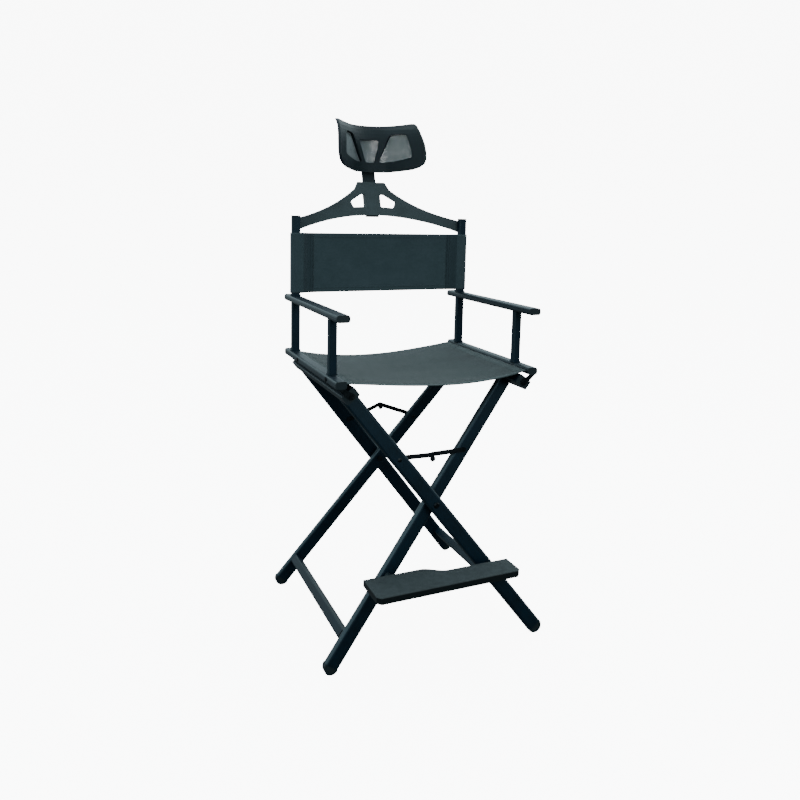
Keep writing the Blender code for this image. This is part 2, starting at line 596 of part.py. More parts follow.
def make_arm_frame(word, side, parent):
    """Seat rail, posts, armrest and back post of one side."""
    pivot = empty(f"arm_frame_{word}_pivot", parent, (side * HINGE_X, 0, HINGE_Z))
    arm = empty(f"arm_frame_{word}", pivot, (-side * HINGE_X, 0, -HINGE_Z))
    make_rail(f"seat_rail_{word}", f"seat_rail_plug_{word}", (side * SEAT_RAIL_X, SEAT_RAIL_Z),
              (SEAT_RAIL_W, SEAT_RAIL_H), SEAT_RAIL_CORNER,
              {"front": SEAT_RAIL_FRONT, "rear": SEAT_RAIL_REAR}, None, arm)
    make_rail(f"armrest_{word}", f"armrest_plug_{word}", (side * ARM_X, ARM_Z), (ARM_W, ARM_H),
              ARM_CORNER, {"front": ARM_FRONT, "rear": ARM_REAR}, None, arm)
    front, rear = (side * POST_X, FRONT_POST_Y), (side * POST_X, REAR_POST_Y)
    low = SEAT_RAIL_Z + SEAT_RAIL_H / 2 + TOUCH
    high = ARM_Z - ARM_H / 2 - TOUCH
    make_post(f"front_post_{word}", front, FRONT_POST_W, low, high, arm)
    make_post(f"rear_post_{word}", rear, REAR_POST_W, low, high, arm)
    back_low = ARM_Z + ARM_H / 2 + TOUCH
    make_post(f"back_post_{word}", rear, REAR_POST_W, back_low, POST_TOP - PLUG_LIP - TOUCH, arm)
    make_post_cap(f"back_post_cap_{word}", rear, arm)
    for end in ("front", "rear"):
        make_arm_hinge(f"arm_hinge_{word}_{end}", side, end, arm)
    return arm


# ---------------------------------------------------------------- canvas
def make_seat_canvas(parent):
    """The sling between the seat rails, sagging more at the front than at the back."""
    reach = SEAT_RAIL_X - SEAT_RAIL_W / 2 - CLOTH_GAP

    def section(sag):
        spots = [2 * step / SEAT_STRIPS - 1 for step in range(SEAT_STRIPS + 1)]
        upper = [(reach * t, -sag * (1 - t * t)) for t in spots]
        return upper + [(x, z - SEAT_THICK) for x, z in reversed(upper)]
    sling = loft((section(SEAT_FRONT_SAG), at_y(SEAT_FRONT, (0, SEAT_EDGE_Z))),
                 (section(SEAT_REAR_SAG), at_y(SEAT_REAR, (0, SEAT_EDGE_Z))))
    piece("seat_canvas", sling, "seat_cloth", parent)


def make_back_canvas(parent):
    """The back panel, with a sleeve round each back post."""
    wrap = CLOTH_GAP + BACK_THICK
    inner = POST_X - REAR_POST_W / 2 - wrap
    outer = POST_X + REAR_POST_W / 2 + wrap
    half = POST_D / 2 + wrap
    thin = BACK_THICK / 2
    edge = POST_CORNER
    side = [(BACK_SEAM_X, -thin), (inner, -half), (outer - edge, -half), (outer, edge - half),
            (outer, half - edge), (outer - edge, half), (inner, half), (BACK_SEAM_X, thin)]
    outline = side + [(-x, y) for x, y in reversed(side)]
    centre = (0, REAR_POST_Y)
    cloth = loft((outline, at_z(BACK_BOTTOM, centre)), (outline, at_z(BACK_TOP, centre)))
    canvas = piece("back_canvas", cloth, "back_cloth", parent)
    hole = rounded(REAR_POST_W + 2 * CLOTH_GAP, POST_D + 2 * CLOTH_GAP, POST_CORNER)
    past = BACK_THICK
    for x in (-POST_X, POST_X):
        spot = (x, REAR_POST_Y)
        cut(canvas, loft((hole, at_z(BACK_BOTTOM - past, spot)), (hole, at_z(BACK_TOP + past, spot))))


# ---------------------------------------------------------------- headrest bar
def bend(target, reach, strips, rule, levels=()):
    """Slice a flat panel across x, and at some heights, then move each of its points by the rule."""
    mesh = bmesh.new()
    mesh.from_mesh(target.data)
    for step in range(1, strips):
        x = reach * (2 * step / strips - 1)
        everything = list(mesh.verts) + list(mesh.edges) + list(mesh.faces)
        bmesh.ops.bisect_plane(mesh, geom=everything, plane_co=(x, 0, 0), plane_no=(1, 0, 0))
    for z in levels:
        everything = list(mesh.verts) + list(mesh.edges) + list(mesh.faces)
        bmesh.ops.bisect_plane(mesh, geom=everything, plane_co=(0, 0, z), plane_no=(0, 0, 1))
    bmesh.ops.triangulate(mesh, faces=mesh.faces)
    for vertex in mesh.verts:
        vertex.co = rule(vertex.co)
    mesh.to_mesh(target.data)
    mesh.free()
    smooth(target.data)


def bar_rule(point):
    """Bow and lean the bar: its ends stay flat and upright, its middle goes back."""
    share = max(0.0, 1 - (point.x / BAR_FLAT_X) ** 2)
    shift = share * (BAR_BOW + BAR_LEAN * (point.z - BAR_BEND_Z))
    return Vector((point.x, point.y + BAR_END_Y + shift, point.z))


def across_stem(z):
    """(u, v) as x and depth square to the leaning stem, at height z on its centre line."""
    y = TILT_Y + BAR_LEAN * (z - TILT_Z)
    return lambda u, v: (u, y + v * math.cos(STEM_LEAN), z - v * math.sin(STEM_LEAN))


def make_headrest_bar(parent):
    """The arched bar behind the back posts, its stem channel and its two clamping knobs."""
    def over(x):
        return POST_TOP - BAR_TOP_DROP + BAR_TOP_RISE * math.exp(-x / BAR_TOP_LENGTH)

    def under(x):
        return POST_TOP + BAR_ARCH_UP - (BAR_ARCH_UP + BAR_END_DROP) * (x / BAR_END_X) ** 2
    steps = range(BAR_CURVE_STEPS + 1)
    reach = BAR_END_X - BAR_SHOULDER_X
    upper = [BAR_SHOULDER_X + reach * step / BAR_CURVE_STEPS for step in steps]
    lower = [BAR_END_X * (1 - step / BAR_CURVE_STEPS) for step in steps]
    half = [(0.0, BAR_TOWER_Z), (BAR_TOWER_X, BAR_TOWER_Z)]
    half += [(x, over(x)) for x in upper] + [(x, under(x)) for x in lower]
    outline = mirrored(half)
    plate = loft((outline, at_y(-BAR_T / 2)), (outline, at_y(BAR_T / 2)))
    bar = piece("headrest_bar", plate, "plastic", parent)
    for side in (-1, 1):
        hole = [(side * x, POST_TOP + z) for x, z in softened(BAR_HOLE, BAR_HOLE_SOFT)]
        cut(bar, loft((hole, at_y(-BAR_T)), (hole, at_y(BAR_T))))
        drill(bar, KNOB_SHANK_R + PIN_GAP, (side * KNOB_X, 0, KNOB_Z), BAR_T)
    bend(bar, BAR_END_X, BAR_STRIPS, bar_rule)
    boss = rounded(BOSS_W, BOSS_T, BAR_T / 4, 2)
    join(bar, loft((boss, across_stem(BOSS_BOTTOM)), (boss, across_stem(BOSS_TOP))))
    slot = rounded(STEM_W + 2 * SLIDE_GAP, STEM_T + 2 * SLIDE_GAP, STEM_CORNER, 2)
    cut(bar, loft((slot, across_stem(BOSS_BOTTOM - BOSS_T)), (slot, across_stem(BAR_TOWER_Z + BOSS_T))))
    back = BAR_END_Y + BAR_T / 2 + TOUCH
    tip = BAR_END_Y - BAR_T / 2
    profile = [(0, tip), (KNOB_SHANK_R, tip), (KNOB_SHANK_R, back), (KNOB_R, back),
               (KNOB_R, back + KNOB_H * 0.75), (KNOB_R * 0.8, back + KNOB_H), (0, back + KNOB_H)]
    for word, side in (("left", -1), ("right", 1)):
        knob = moved(turned(profile), (side * KNOB_X, 0, KNOB_Z))
        piece(f"headrest_bar_knob_{word}", knob, "plastic", parent)


# ---------------------------------------------------------------- headrest
def rest_rule(point):
    """Wrap the flat panel round the head: a curved middle, straight wings and a rolled top edge."""
    side = math.copysign(1, point.x)
    turn = min(abs(point.x) / REST_RADIUS, REST_TURN)
    wing = abs(point.x) - REST_RADIUS * turn
    rise = max(0.0, point.z) / REST_EDGE[-1][1]
    radius = REST_RADIUS + point.y + REST_ROLL * rise ** 2 + REST_CURL * turn / REST_TURN * rise ** 6
    z = REST_Z + point.z
    y = REST_Y - REST_RADIUS + radius * math.cos(turn) - wing * math.sin(turn)
    return Vector((side * (radius * math.sin(turn) + wing * math.cos(turn)), y + REST_LEAN * (z - TILT_Z), z))


def make_stem(parent):
    """The flat stem that slides in the bar, and the pin at its top."""
    section = rounded(STEM_W, STEM_T, STEM_CORNER, 2)
    body = loft((section, across_stem(STEM_BOTTOM)), (section, across_stem(TILT_Z + LUG_R)))
    stem = piece("headrest_stem", body, "plastic", parent)
    hole = circle(TILT_PIN_R + PIN_GAP, (TILT_Y, TILT_Z))
    cut(stem, loft((hole, at_x(-STEM_W)), (hole, at_x(STEM_W))))
    half = STEM_W / 2 + SLIDE_GAP + LUG_T + TOUCH
    ends = half + TILT_HEAD_H
    profile = [(0, -ends), (TILT_HEAD_R, -ends), (TILT_HEAD_R, -half), (TILT_PIN_R, -half),
               (TILT_PIN_R, half), (TILT_HEAD_R, half), (TILT_HEAD_R, ends), (0, ends)]
    pin = moved(turned(profile, axis="X", steps=14), (0, TILT_Y, TILT_Z))
    piece("headrest_tilt_pin", pin, "steel", parent)


def make_headrest(parent):
    """The windowed shell with its two lugs, and the net stretched behind its windows."""
    shape = mirrored(REST_EDGE)
    shell = loft((shape, at_y(-REST_T / 2)), (shape, at_y(REST_T / 2)))
    frame = piece("headrest_frame", shell, "plastic", parent)
    (top_x, top_z), (bottom_x, bottom_z) = REST_MID_WINDOW
    windows = [[(top_x, top_z), (-top_x, top_z), (-bottom_x, bottom_z), (bottom_x, bottom_z)]]
    windows += [[(side * x, z) for x, z in REST_SIDE_WINDOW] for side in (-1, 1)]
    for window in [softened(corners, REST_WINDOW_SOFT) for corners in windows]:
        cut(frame, loft((window, at_y(-REST_T)), (window, at_y(REST_T))))
    reach = max(u for u, v in REST_EDGE)
    levels = [REST_EDGE[-1][1] * step / REST_LEVELS for step in range(REST_LEVELS)]
    bend(frame, reach, REST_STRIPS, rest_rule, levels)
    steps = 6
    arc = [math.pi * (0.5 - step / steps) for step in range(steps + 1)]
    lug = [(LUG_R * math.cos(a), LUG_R * math.sin(a)) for a in arc]
    lug += [(REST_Y - TILT_Y - REST_LEAN * LUG_R, -LUG_R), (REST_Y - TILT_Y + REST_LEAN * LUG_R, LUG_R)]
    near = STEM_W / 2 + SLIDE_GAP
    hole = circle(TILT_PIN_R + PIN_GAP, (TILT_Y, TILT_Z))
    centre = (TILT_Y, TILT_Z)
    for side in (-1, 1):
        join(frame, loft((lug, at_x(side * near, centre)), (lug, at_x(side * (near + LUG_T), centre))))
    cut(frame, loft((hole, at_x(-STEM_W)), (hole, at_x(STEM_W))))
    net_top = max(v for u, v in REST_SIDE_WINDOW) + NET_MARGIN
    net_bottom = min(v for u, v in REST_SIDE_WINDOW) - NET_MARGIN / 2
    net_side = max(u for u, v in REST_SIDE_WINDOW) + NET_MARGIN
    net = [(net_side, net_bottom + NET_MARGIN * 3), (net_side, net_top - NET_MARGIN * 3),
           (net_side - NET_MARGIN * 4, net_top), (NET_MARGIN * 4 - net_side, net_top),
           (-net_side, net_top - NET_MARGIN * 3), (-net_side, net_bottom + NET_MARGIN * 3),
           (NET_MARGIN * 4 - net_side, net_bottom), (net_side - NET_MARGIN * 4, net_bottom)]
    front = REST_T / 2 + TOUCH
    sheet = loft((net, at_y(front)), (net, at_y(front + NET_T)))
    bend(piece("headrest_net", sheet, "net", parent), net_side, REST_STRIPS, rest_rule, levels)


# ---------------------------------------------------------------- footrest
def make_board(parent):
    """The footrest board: its rear edge steps forward where the outer leg passes behind it."""
    pivot = empty("footrest_pivot", parent, (0, 0, BOARD_S), (0, -LEG_LEAN, 0))
    left, right = BOARD_LEFT - BOARD_S * SIN, BOARD_RIGHT - BOARD_S * SIN
    step_left, step_right = BOARD_STEP_LEFT - BOARD_S * SIN, BOARD_STEP_RIGHT - BOARD_S * SIN
    corner = BOARD_CORNER

    def board(inset):
        low, high = BOARD_FRONT + inset, BOARD_REAR_LEFT - inset
        far = BOARD_REAR_RIGHT - inset
        points = [(left + inset, low + corner), (left + inset + corner, low),
                  (right - inset - corner, low), (right - inset, low + corner), (right - inset, far)]
        for step in range(BOARD_STEP_POINTS + 1):
            share = 1 - step / BOARD_STEP_POINTS
            ease = (1 - math.cos(math.pi * share)) / 2
            points.append((step_left + (step_right - step_left) * share, high + (far - high) * ease))
        return points + [(left + inset, high)]
    half = BOARD_T / 2
    slab = loft((board(BOARD_EDGE), at_z(-half)), (board(0), at_z(BOARD_EDGE - half)),
                (board(0), at_z(half - BOARD_EDGE)), (board(BOARD_EDGE), at_z(half)))
    footrest = piece("footrest_board", slab, "board", pivot)
    hole = circle(BOARD_PIN_R + PIN_GAP)
    depth = BOARD_REAR_LEFT - BOARD_PIN_LENGTH - 2 * PIN_GAP
    cut(footrest, loft((hole, at_y(depth)), (hole, at_y(BOARD_REAR_LEFT + BLOCK_R))))


def make_board_hinge(parent):
    """The block on the inner front leg and the pin on which the board swings."""
    spot = (0, BOARD_S)
    face = FACE_B - TOUCH
    front = BOARD_REAR_LEFT + TOUCH
    block = circle(BLOCK_R)
    body = loft((block, on_slope(face, FRONT_SPLAY, BOARD_S)), (block, at_y(front, spot)))
    hinge = piece("footrest_hinge", body, "plastic", parent)
    pin = circle(BOARD_PIN_R)
    join(hinge, loft((pin, at_y(front + TOUCH, spot)), (pin, at_y(front - BOARD_PIN_LENGTH, spot))))


def make_board_peg(parent):
    """The peg on the outer front leg, under the board's other end."""
    face = FACE_A - TOUCH
    peg = circle(PEG_R)
    body = loft((peg, on_slope(face, FRONT_SPLAY, PEG_S)), (peg, at_y(PEG_FRONT, (0, PEG_S))))
    piece("footrest_peg", body, "plastic", parent)


def build():
    """Clear the scene and put the whole chair together."""
    for old in list(bpy.data.objects):
        bpy.data.objects.remove(old)
    chair = empty("chair_origin", None, (0, -ORIGIN_Y, 0))
    axis = (0, 0, PIVOT_HEIGHT)
    frames = {}
    for frame in ("a", "b"):
        frames[frame] = empty(f"leg_frame_{frame}_pivot", chair, axis, (0, LEAN[frame], 0))
        make_leg_frame(frame, frames[frame])
    scissor = empty("scissor_axis", chair, axis)
    for end in ("front", "rear"):
        make_scissor_bolt(end, scissor)
    left = make_arm_frame("left", -1, chair)
    make_arm_frame("right", 1, chair)
    make_seat_canvas(left)
    make_back_canvas(left)
    bar = empty("headrest_bar_slide", chair)
    make_headrest_bar(bar)
    stem = empty("headrest_stem_slide", bar)
    make_stem(stem)
    tilt = empty("headrest_tilt_axis", stem, (0, TILT_Y, TILT_Z))
    rest = empty("headrest", tilt, (0, -TILT_Y, -TILT_Z))
    make_headrest(rest)
    make_board_hinge(frames["b"])
    make_board(frames["b"])
    make_board_peg(frames["a"])


build()
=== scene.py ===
# %% [markdown]
# # Dressing a tall director chair
# The solid model already holds every tube, hinge, rivet and plug at its true size. This script
# gives them their finishes and makes what solids can't show well: the two canvases, the net of the
# headrest, the stitching and the rail bolts. Everything is in metres, +Z is up and the sitter
# faces -Y.

# %% Start from the solid model
import math

import bmesh
import bpy
from mathutils import Matrix, Vector, noise


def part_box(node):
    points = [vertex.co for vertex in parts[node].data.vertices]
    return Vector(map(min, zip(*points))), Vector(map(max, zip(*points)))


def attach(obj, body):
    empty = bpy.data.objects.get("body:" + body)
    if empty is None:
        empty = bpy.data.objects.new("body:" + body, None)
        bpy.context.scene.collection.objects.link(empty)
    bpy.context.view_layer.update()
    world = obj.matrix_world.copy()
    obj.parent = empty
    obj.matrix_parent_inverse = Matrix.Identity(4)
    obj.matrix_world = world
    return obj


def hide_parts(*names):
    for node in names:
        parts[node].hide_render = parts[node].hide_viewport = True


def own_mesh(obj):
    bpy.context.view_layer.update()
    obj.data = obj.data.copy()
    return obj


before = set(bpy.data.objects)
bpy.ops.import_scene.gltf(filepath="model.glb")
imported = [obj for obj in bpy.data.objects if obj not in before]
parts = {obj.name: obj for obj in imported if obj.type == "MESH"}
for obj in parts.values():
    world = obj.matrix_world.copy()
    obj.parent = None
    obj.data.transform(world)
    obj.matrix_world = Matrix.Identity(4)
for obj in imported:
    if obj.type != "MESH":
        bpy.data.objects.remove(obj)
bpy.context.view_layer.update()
MM = 0.001
SIDES = (("left", -1), ("right", 1))


# %% [markdown]
# ## Four small helpers
# Most pieces below are built the same way: a mesh is filled, an object is put in the scene, its
# modifiers are applied and it gets a material. These four steps are written once.


# %% Helpers
def filled(name, mesh):
    """Turn a bmesh into mesh data, and free it."""
    data = bpy.data.meshes.new(name)
    mesh.to_mesh(data)
    mesh.free()
    return data


def stand(name, data):
    """A new object in the scene."""
    made = bpy.data.objects.new(name, data)
    bpy.context.scene.collection.objects.link(made)
    return made


def make_plain(thing):
    """Swap an object's mesh for what its modifiers make of it, and take them off."""
    thing.data = bpy.data.meshes.new_from_object(
        thing.evaluated_get(bpy.context.evaluated_depsgraph_get()))
    thing.modifiers.clear()


def wear(thing, material):
    """Give an object one material."""
    thing.data.materials.clear()
    thing.data.materials.append(material)


print("helpers ready")

# %% [markdown]
# ## The place it stands in
# A pale floor that curves up into a round wall keeps attention on the chair from every side. It is
# one turned sheet, so no line shows where the floor ends. Rays that light the chair pass through it
# to the room behind, so that its white doesn't wash out the black coat.


# %% Floor and camera
def make_sweep(radius, rise, bend, inner=1.2, sides=96, steps=14):
    """A round floor whose rim curves up into a wall."""
    profile = [(inner, 0.0), (radius - bend, 0.0)]
    for step in range(1, steps + 1):
        turn = math.pi / 2 * step / steps
        profile.append((radius - bend + bend * math.sin(turn), bend - bend * math.cos(turn)))
    profile.append((radius, rise))
    around = [2 * math.pi * side / sides for side in range(sides)]
    mesh = bmesh.new()
    middle = mesh.verts.new((0, 0, 0))
    rings = [[mesh.verts.new((reach * math.cos(a), reach * math.sin(a), z)) for a in around]
             for reach, z in profile]
    for side in range(sides):
        after = (side + 1) % sides
        mesh.faces.new((middle, rings[0][side], rings[0][after]))
        for low, high in zip(rings, rings[1:]):
            mesh.faces.new((low[side], high[side], high[after], low[after]))
    sweep = stand("studio_sweep", filled("studio_sweep", mesh))
    sweep.data.shade_smooth()
    sweep.visible_glossy = sweep.visible_diffuse = False
    return sweep


sweep = make_sweep(radius=7.5, rise=9.0, bend=2.5)

CAMERA_PLACE = Vector((-0.8667, -1.9346, 1.1895))
CAMERA_YAW, CAMERA_PITCH, CAMERA_ROLL = 0.41860, -0.13314, 0.02329
camera = stand("camera", bpy.data.cameras.new("camera"))
camera.data.lens = 33.05
camera.data.sensor_width = 36.0
camera.data.shift_x, camera.data.shift_y = -0.0044, -0.1105
camera.matrix_world = (Matrix.Translation(CAMERA_PLACE)
                       @ Matrix.Rotation(-CAMERA_YAW, 4, "Z")
                       @ Matrix.Rotation(math.pi / 2 + CAMERA_PITCH, 4, "X")
                       @ Matrix.Rotation(CAMERA_ROLL, 4, "Z"))
bpy.context.scene.camera = camera
print("camera stands", round(CAMERA_PLACE.length, 2), "m from the chair's foot")

# %% [markdown]
# ## Light
# Dark coated tubes only show their shape by what they reflect. A wide soft panel overhead lights
# their top faces, and weaker ones stand on each side and in front. The room is bright behind and
# above the chair but dim in front, so faces that look up or back shine and faces that look forward
# stay nearly black.

# %% Soft panels and the room
PANEL_TINT, ROOM_TINT = (0.90, 0.98, 1.0), (0.76, 0.95, 1.0, 1.0)
PANELS = (       # name, place, the point it looks at, size, watts
    ("top_panel", (0.9, 0.7, 3.3), (0, 0, 0.8), (2.6, 2.6), 42),
    ("left_panel", (-1.7, -1.1, 1.7), (-0.3, 0, 1.0), (0.7, 1.2), 9),
    ("right_panel", (2.8, -1.8, 2.0), (0, 0, 0.8), (1.2, 2.4), 7),
    ("front_panel", (0.2, -1.9, 1.55), (-0.3, 0.2, 1.2), (0.5, 0.7), 8),
)
# The Y or Z of a direction, from -1 to 1, where each change of brightness starts and ends.
FRONT_TO_BACK, HORIZON, OVERHEAD = (-0.3, 0.7), (-0.25, 0.12), (0.2, 0.9)


def soft_panel(name, place, aim, size, watts):
    """A rectangular area light that looks at a point."""
    light = bpy.data.lights.new(name, "AREA")
    light.shape = "RECTANGLE"
    light.size, light.size_y = size
    light.energy = watts
    light.color = PANEL_TINT
    lamp = stand(name, light)
    lamp.location = place
    lamp.rotation_euler = (Vector(aim) - Vector(place)).to_track_quat("-Z", "Y").to_euler()


def light_room(back, front, up, low):
    """A world that is bright behind the chair and overhead, dim in front of it and dark below."""
    world = bpy.data.worlds.new("studio_room")
    world.use_nodes = True
    tree = world.node_tree
    look = tree.nodes.new("ShaderNodeTexCoord")
    spread = tree.nodes.new("ShaderNodeSeparateXYZ")
    tree.links.new(look.outputs["Generated"], spread.inputs[0])

    def ramp(axis, reach, first, last):
        node = tree.nodes.new("ShaderNodeMapRange")
        for socket, value in zip(node.inputs[1:5], (*reach, first, last)):
            socket.default_value = value
        tree.links.new(spread.outputs[axis], node.inputs["Value"])
        return node.outputs["Result"]

    def join(operation, first, second):
        node = tree.nodes.new("ShaderNodeMath")
        node.operation = operation
        tree.links.new(first, node.inputs[0])
        tree.links.new(second, node.inputs[1])
        return node.outputs[0]

    level = join("MULTIPLY", ramp("Y", FRONT_TO_BACK, front, back), ramp("Z", HORIZON, low, 1.0))
    total = join("ADD", level, ramp("Z", OVERHEAD, 0.0, up))
    tree.links.new(total, tree.nodes["Background"].inputs["Strength"])
    tree.nodes["Background"].inputs["Color"].default_value = ROOM_TINT
    bpy.context.scene.world = world


for soft_light in PANELS:
    soft_panel(*soft_light)
light_room(back=1.3, front=0.42, up=0.5, low=0.15)
print("lights:", len(bpy.data.lights))

# %% [markdown]
# ## Writing shaders as sums
# Node trees are easier to read as arithmetic. `Value` wraps one socket, so that `1 - dirt * 0.5`
# adds the Math nodes by itself. `Graph` adds any other node, and `Finish` is the graph of a
# material.


# %% A small language for materials
class Value:
    """A number that varies over a surface: arithmetic on it adds Math nodes."""

    def __init__(self, graph, socket):
        self.graph, self.socket = graph, socket

    def _math(self, operation, first, second, clamp=False):
        return self.graph.node("ShaderNodeMath", {"operation": operation, "use_clamp": clamp},
                               {0: first, 1: second})

    def __add__(self, other):
        return self._math("ADD", self, other)

    def __sub__(self, other):
        return self._math("SUBTRACT", self, other)

    def __rsub__(self, other):
        return self._math("SUBTRACT", other, self)

    def __mul__(self, other):
        return self._math("MULTIPLY", self, other)

    def __pow__(self, other):
        return self._math("POWER", self, other)

    __radd__ = __add__

    def least(self, other):
        return self._math("MINIMUM", self, other)

    def most(self, other):
        return self._math("MAXIMUM", self, other)

    def above(self, edge, soft):
        """0 below the edge, 1 above it, with a soft step between."""
        return self._math("MULTIPLY", self - (edge - soft / 2), 1 / soft, clamp=True)


class Graph:
    """A node tree and the ways to add to it."""

    def __init__(self, tree):
        self.tree = tree

    def put(self, socket, value):
        """Link a Value into a socket, or write a constant on it."""
        if isinstance(value, Value):
            self.tree.links.new(value.socket, socket)
        elif hasattr(value, "__len__") and len(value) == 3 and len(socket.default_value) == 4:
            socket.default_value = (*value, 1.0)
        else:
            socket.default_value = value

    def node(self, kind, settings=None, sockets=None, output=0):
        """Add a node: its settings first, then its sockets; returns the asked output."""
        node = self.tree.nodes.new(kind)
        for name, value in (settings or {}).items():
            setattr(node, name, value)
        for key, value in (sockets or {}).items():
            found = [s for s in node.inputs if s.identifier == key]
            self.put(found[0] if found else node.inputs[key], value)
        return Value(self, node.outputs[output])


class Finish(Graph):
    """One material and the nodes that make it."""

    def __init__(self, name):
        self.material = bpy.data.materials.new(name)
        self.material.use_nodes = True
        super().__init__(self.material.node_tree)
        self.shader = self.tree.nodes["Principled BSDF"]

    def mix(self, share, first, second):
        """Blend two colours."""
        return self.node("ShaderNodeMix", {"data_type": "RGBA", "clamp_factor": True},
                         {"Factor_Float": share, "A_Color": first, "B_Color": second}, 2)

    def place(self, scale=(1, 1, 1), uv=None):
        """Object coordinates in metres, or a UV map, stretched by scale."""
        if uv:
            spot = self.node("ShaderNodeUVMap", {"uv_map": uv})
        else:
            spot = self.node("ShaderNodeTexCoord", output="Object")
        return self.node("ShaderNodeVectorMath", {"operation": "MULTIPLY"}, {0: spot, 1: scale})

    def noise(self, where, scale, detail=3.0, rough=0.55):
        """Soft random blotches, about 0 to 1."""
        return self.node("ShaderNodeTexNoise", None,
                         {"Vector": where, "Scale": scale, "Detail": detail, "Roughness": rough},
                         "Fac")

    def axis(self, vector, index):
        """One coordinate of a vector."""
        return self.node("ShaderNodeSeparateXYZ", None, {0: vector}, index)

    def dot(self, vector, way):
        """How far a vector goes along a direction."""
        return self.node("ShaderNodeVectorMath", {"operation": "DOT_PRODUCT"},
                         {0: vector, 1: way}, "Value")

    def size(self, number):
        """A number without its sign."""
        return self.node("ShaderNodeMath", {"operation": "ABSOLUTE"}, {0: number})

    def wave(self, number):
        """A sine of a number, from 0 to 1."""
        return self.node("ShaderNodeMath", {"operation": "SINE"}, {0: number}) * 0.5 + 0.5

    def bump(self, height, strength, distance):
        """Raise the surface where height goes from 0 to 1, by distance in metres."""
        self.put(self.shader.inputs["Normal"],
                 self.node("ShaderNodeBump", None,
                           {"Strength": strength, "Distance": distance, "Height": height}))

    def set(self, **values):
        """Write Principled inputs: base_color=..., roughness=..."""
        for name, value in values.items():
            label = name.replace("_", " ").title().replace("Ior", "IOR")
            self.put(self.shader.inputs[label], value)


def lighter(colour, times):
    """A colour made brighter."""
    return tuple(times * c for c in colour)


print("shader helpers ready")

# %% [markdown]
# ## Coated aluminium
# The tubes are extruded aluminium with a thin blue-black coat. An extrusion keeps faint die lines
# along its length and the coat is a little uneven. Its rounded edges get a painted highlight, a
# lighter colour broken up by scuffs, and a few scuffs elsewhere are worn lighter. An edge is where
# the surface looks half way between the two flat faces, so the finish asks the surface normal for
# it. The sloping sides of the legs that look up are painted lighter and greyer, as painted top
# light. Die lines follow the tube, so tubes that run another way have their own finish.

# %% The tube finish, one for each direction
# The second colour is painted highlight on the rounded edges and real wear on the scuffs.
COAT, COAT_HIGHLIGHT_AND_WEAR = (0.0002, 0.0036, 0.0078), (0.0220, 0.0340, 0.0380)
COAT_LIGHTER = 2.6
# The grey of the painted top light on faces that look up.
TOP_LIGHT_GREY = (0.0340, 0.0430, 0.0450)
BLUE_TINT, PALE_TINT = (0.58, 0.84, 1.0), (0.80, 0.93, 0.96)
X_WAY, Y_WAY, Z_WAY = (1, 0, 0), (0, 1, 0), (0, 0, 1)


def coated_tube(name, stretch, face, side, gloss, shine=0.36, tint=BLUE_TINT, painted_top_light=0.0):
    """Coated aluminium, painted lighter as a highlight where it looks half way between face and
    side.

    stretch is how fine the pattern is along X, Y and Z: lines run where it is smallest. The last
    argument paints the faces that look up lighter and greyer, as painted top light."""
    finish = Finish(name)
    lines = finish.noise(finish.place(stretch), scale=1.0, detail=2.0)
    cloud = finish.noise(finish.place(), scale=16.0, detail=4.0)
    scuff = finish.noise(finish.place(), scale=70.0, detail=5.0, rough=0.7)
    facing = finish.node("ShaderNodeTexCoord", output="Normal")
    toward = [finish.size(finish.dot(facing, axis)) for axis in (face, side)]
    edge = (toward[0] * toward[1] * 2.0).above(0.72, soft=0.5)
    # Painted highlight along the rounded edges, broken up by scuffs; worn scuffs are added to it
    # below.
    painted_edge_highlight = edge * (scuff * 0.9 + 0.3).least(1.0) * 0.75
    highlight_and_wear = painted_edge_highlight + scuff.above(0.68, soft=0.10) * 0.3
    shade = (cloud * 0.5 + lines * 0.5).above(0.5, soft=0.28)
    colour = finish.mix(shade, COAT, lighter(COAT, COAT_LIGHTER))
    # Faces that look up are painted lighter and greyer: painted top light.
    if painted_top_light:
        looks_up = finish.axis(facing, 2).above(0.48, soft=0.12)
        colour = finish.mix(looks_up * (cloud * 0.7 + lines * 0.5) * painted_top_light, colour, TOP_LIGHT_GREY)
    finish.set(base_color=finish.mix(highlight_and_wear, colour, COAT_HIGHLIGHT_AND_WEAR), metallic=0.0,
               roughness=gloss + lines * 0.10 + scuff * 0.06 - highlight_and_wear * 0.05,
               specular_ior_level=shine, specular_tint=tint)
    finish.bump(lines * 0.6 + cloud * 0.4, strength=0.25, distance=0.10 * MM)
    return finish.material


LEG_LEAN = math.radians(38.0)
ALONG_Y = coated_tube("coat_along_y", (900, 6, 900), Z_WAY, X_WAY,
                      gloss=0.40, shine=0.46, tint=PALE_TINT)
ALONG_Z = coated_tube("coat_along_z", (900, 900, 6), Y_WAY, X_WAY, gloss=0.46)
LEG_COATS = {}
for letter, lean in (("a", -LEG_LEAN), ("b", LEG_LEAN)):
    narrow = (math.cos(lean), 0, -math.sin(lean))
    upward = (math.sin(lean), 0, math.cos(lean))
    # The legs get painted top light on their faces that look up.
    LEG_COATS["leg_" + letter] = coated_tube(
        f"coat_leg_{letter}", (500, 700, 60), Y_WAY, narrow, gloss=0.34, shine=0.60, painted_top_light=1.3)
    LEG_COATS["rail_" + letter] = coated_tube(
        f"coat_rail_{letter}", (700, 6, 700), upward, narrow,
        gloss=0.40, shine=0.26, tint=PALE_TINT)
print("tube finishes:", 2 + len(LEG_COATS))

# %% [markdown]
# ## Plastic, thread and steel
# Feet, plugs, caps and the headrest are moulded in black plastic with a fine spark-eroded grain.
# The thread and the black heads of the rail bolts look near enough the same to share that finish.
# The scissor bolts, rivets, hinges and stay links are steel with a thin dark plating.


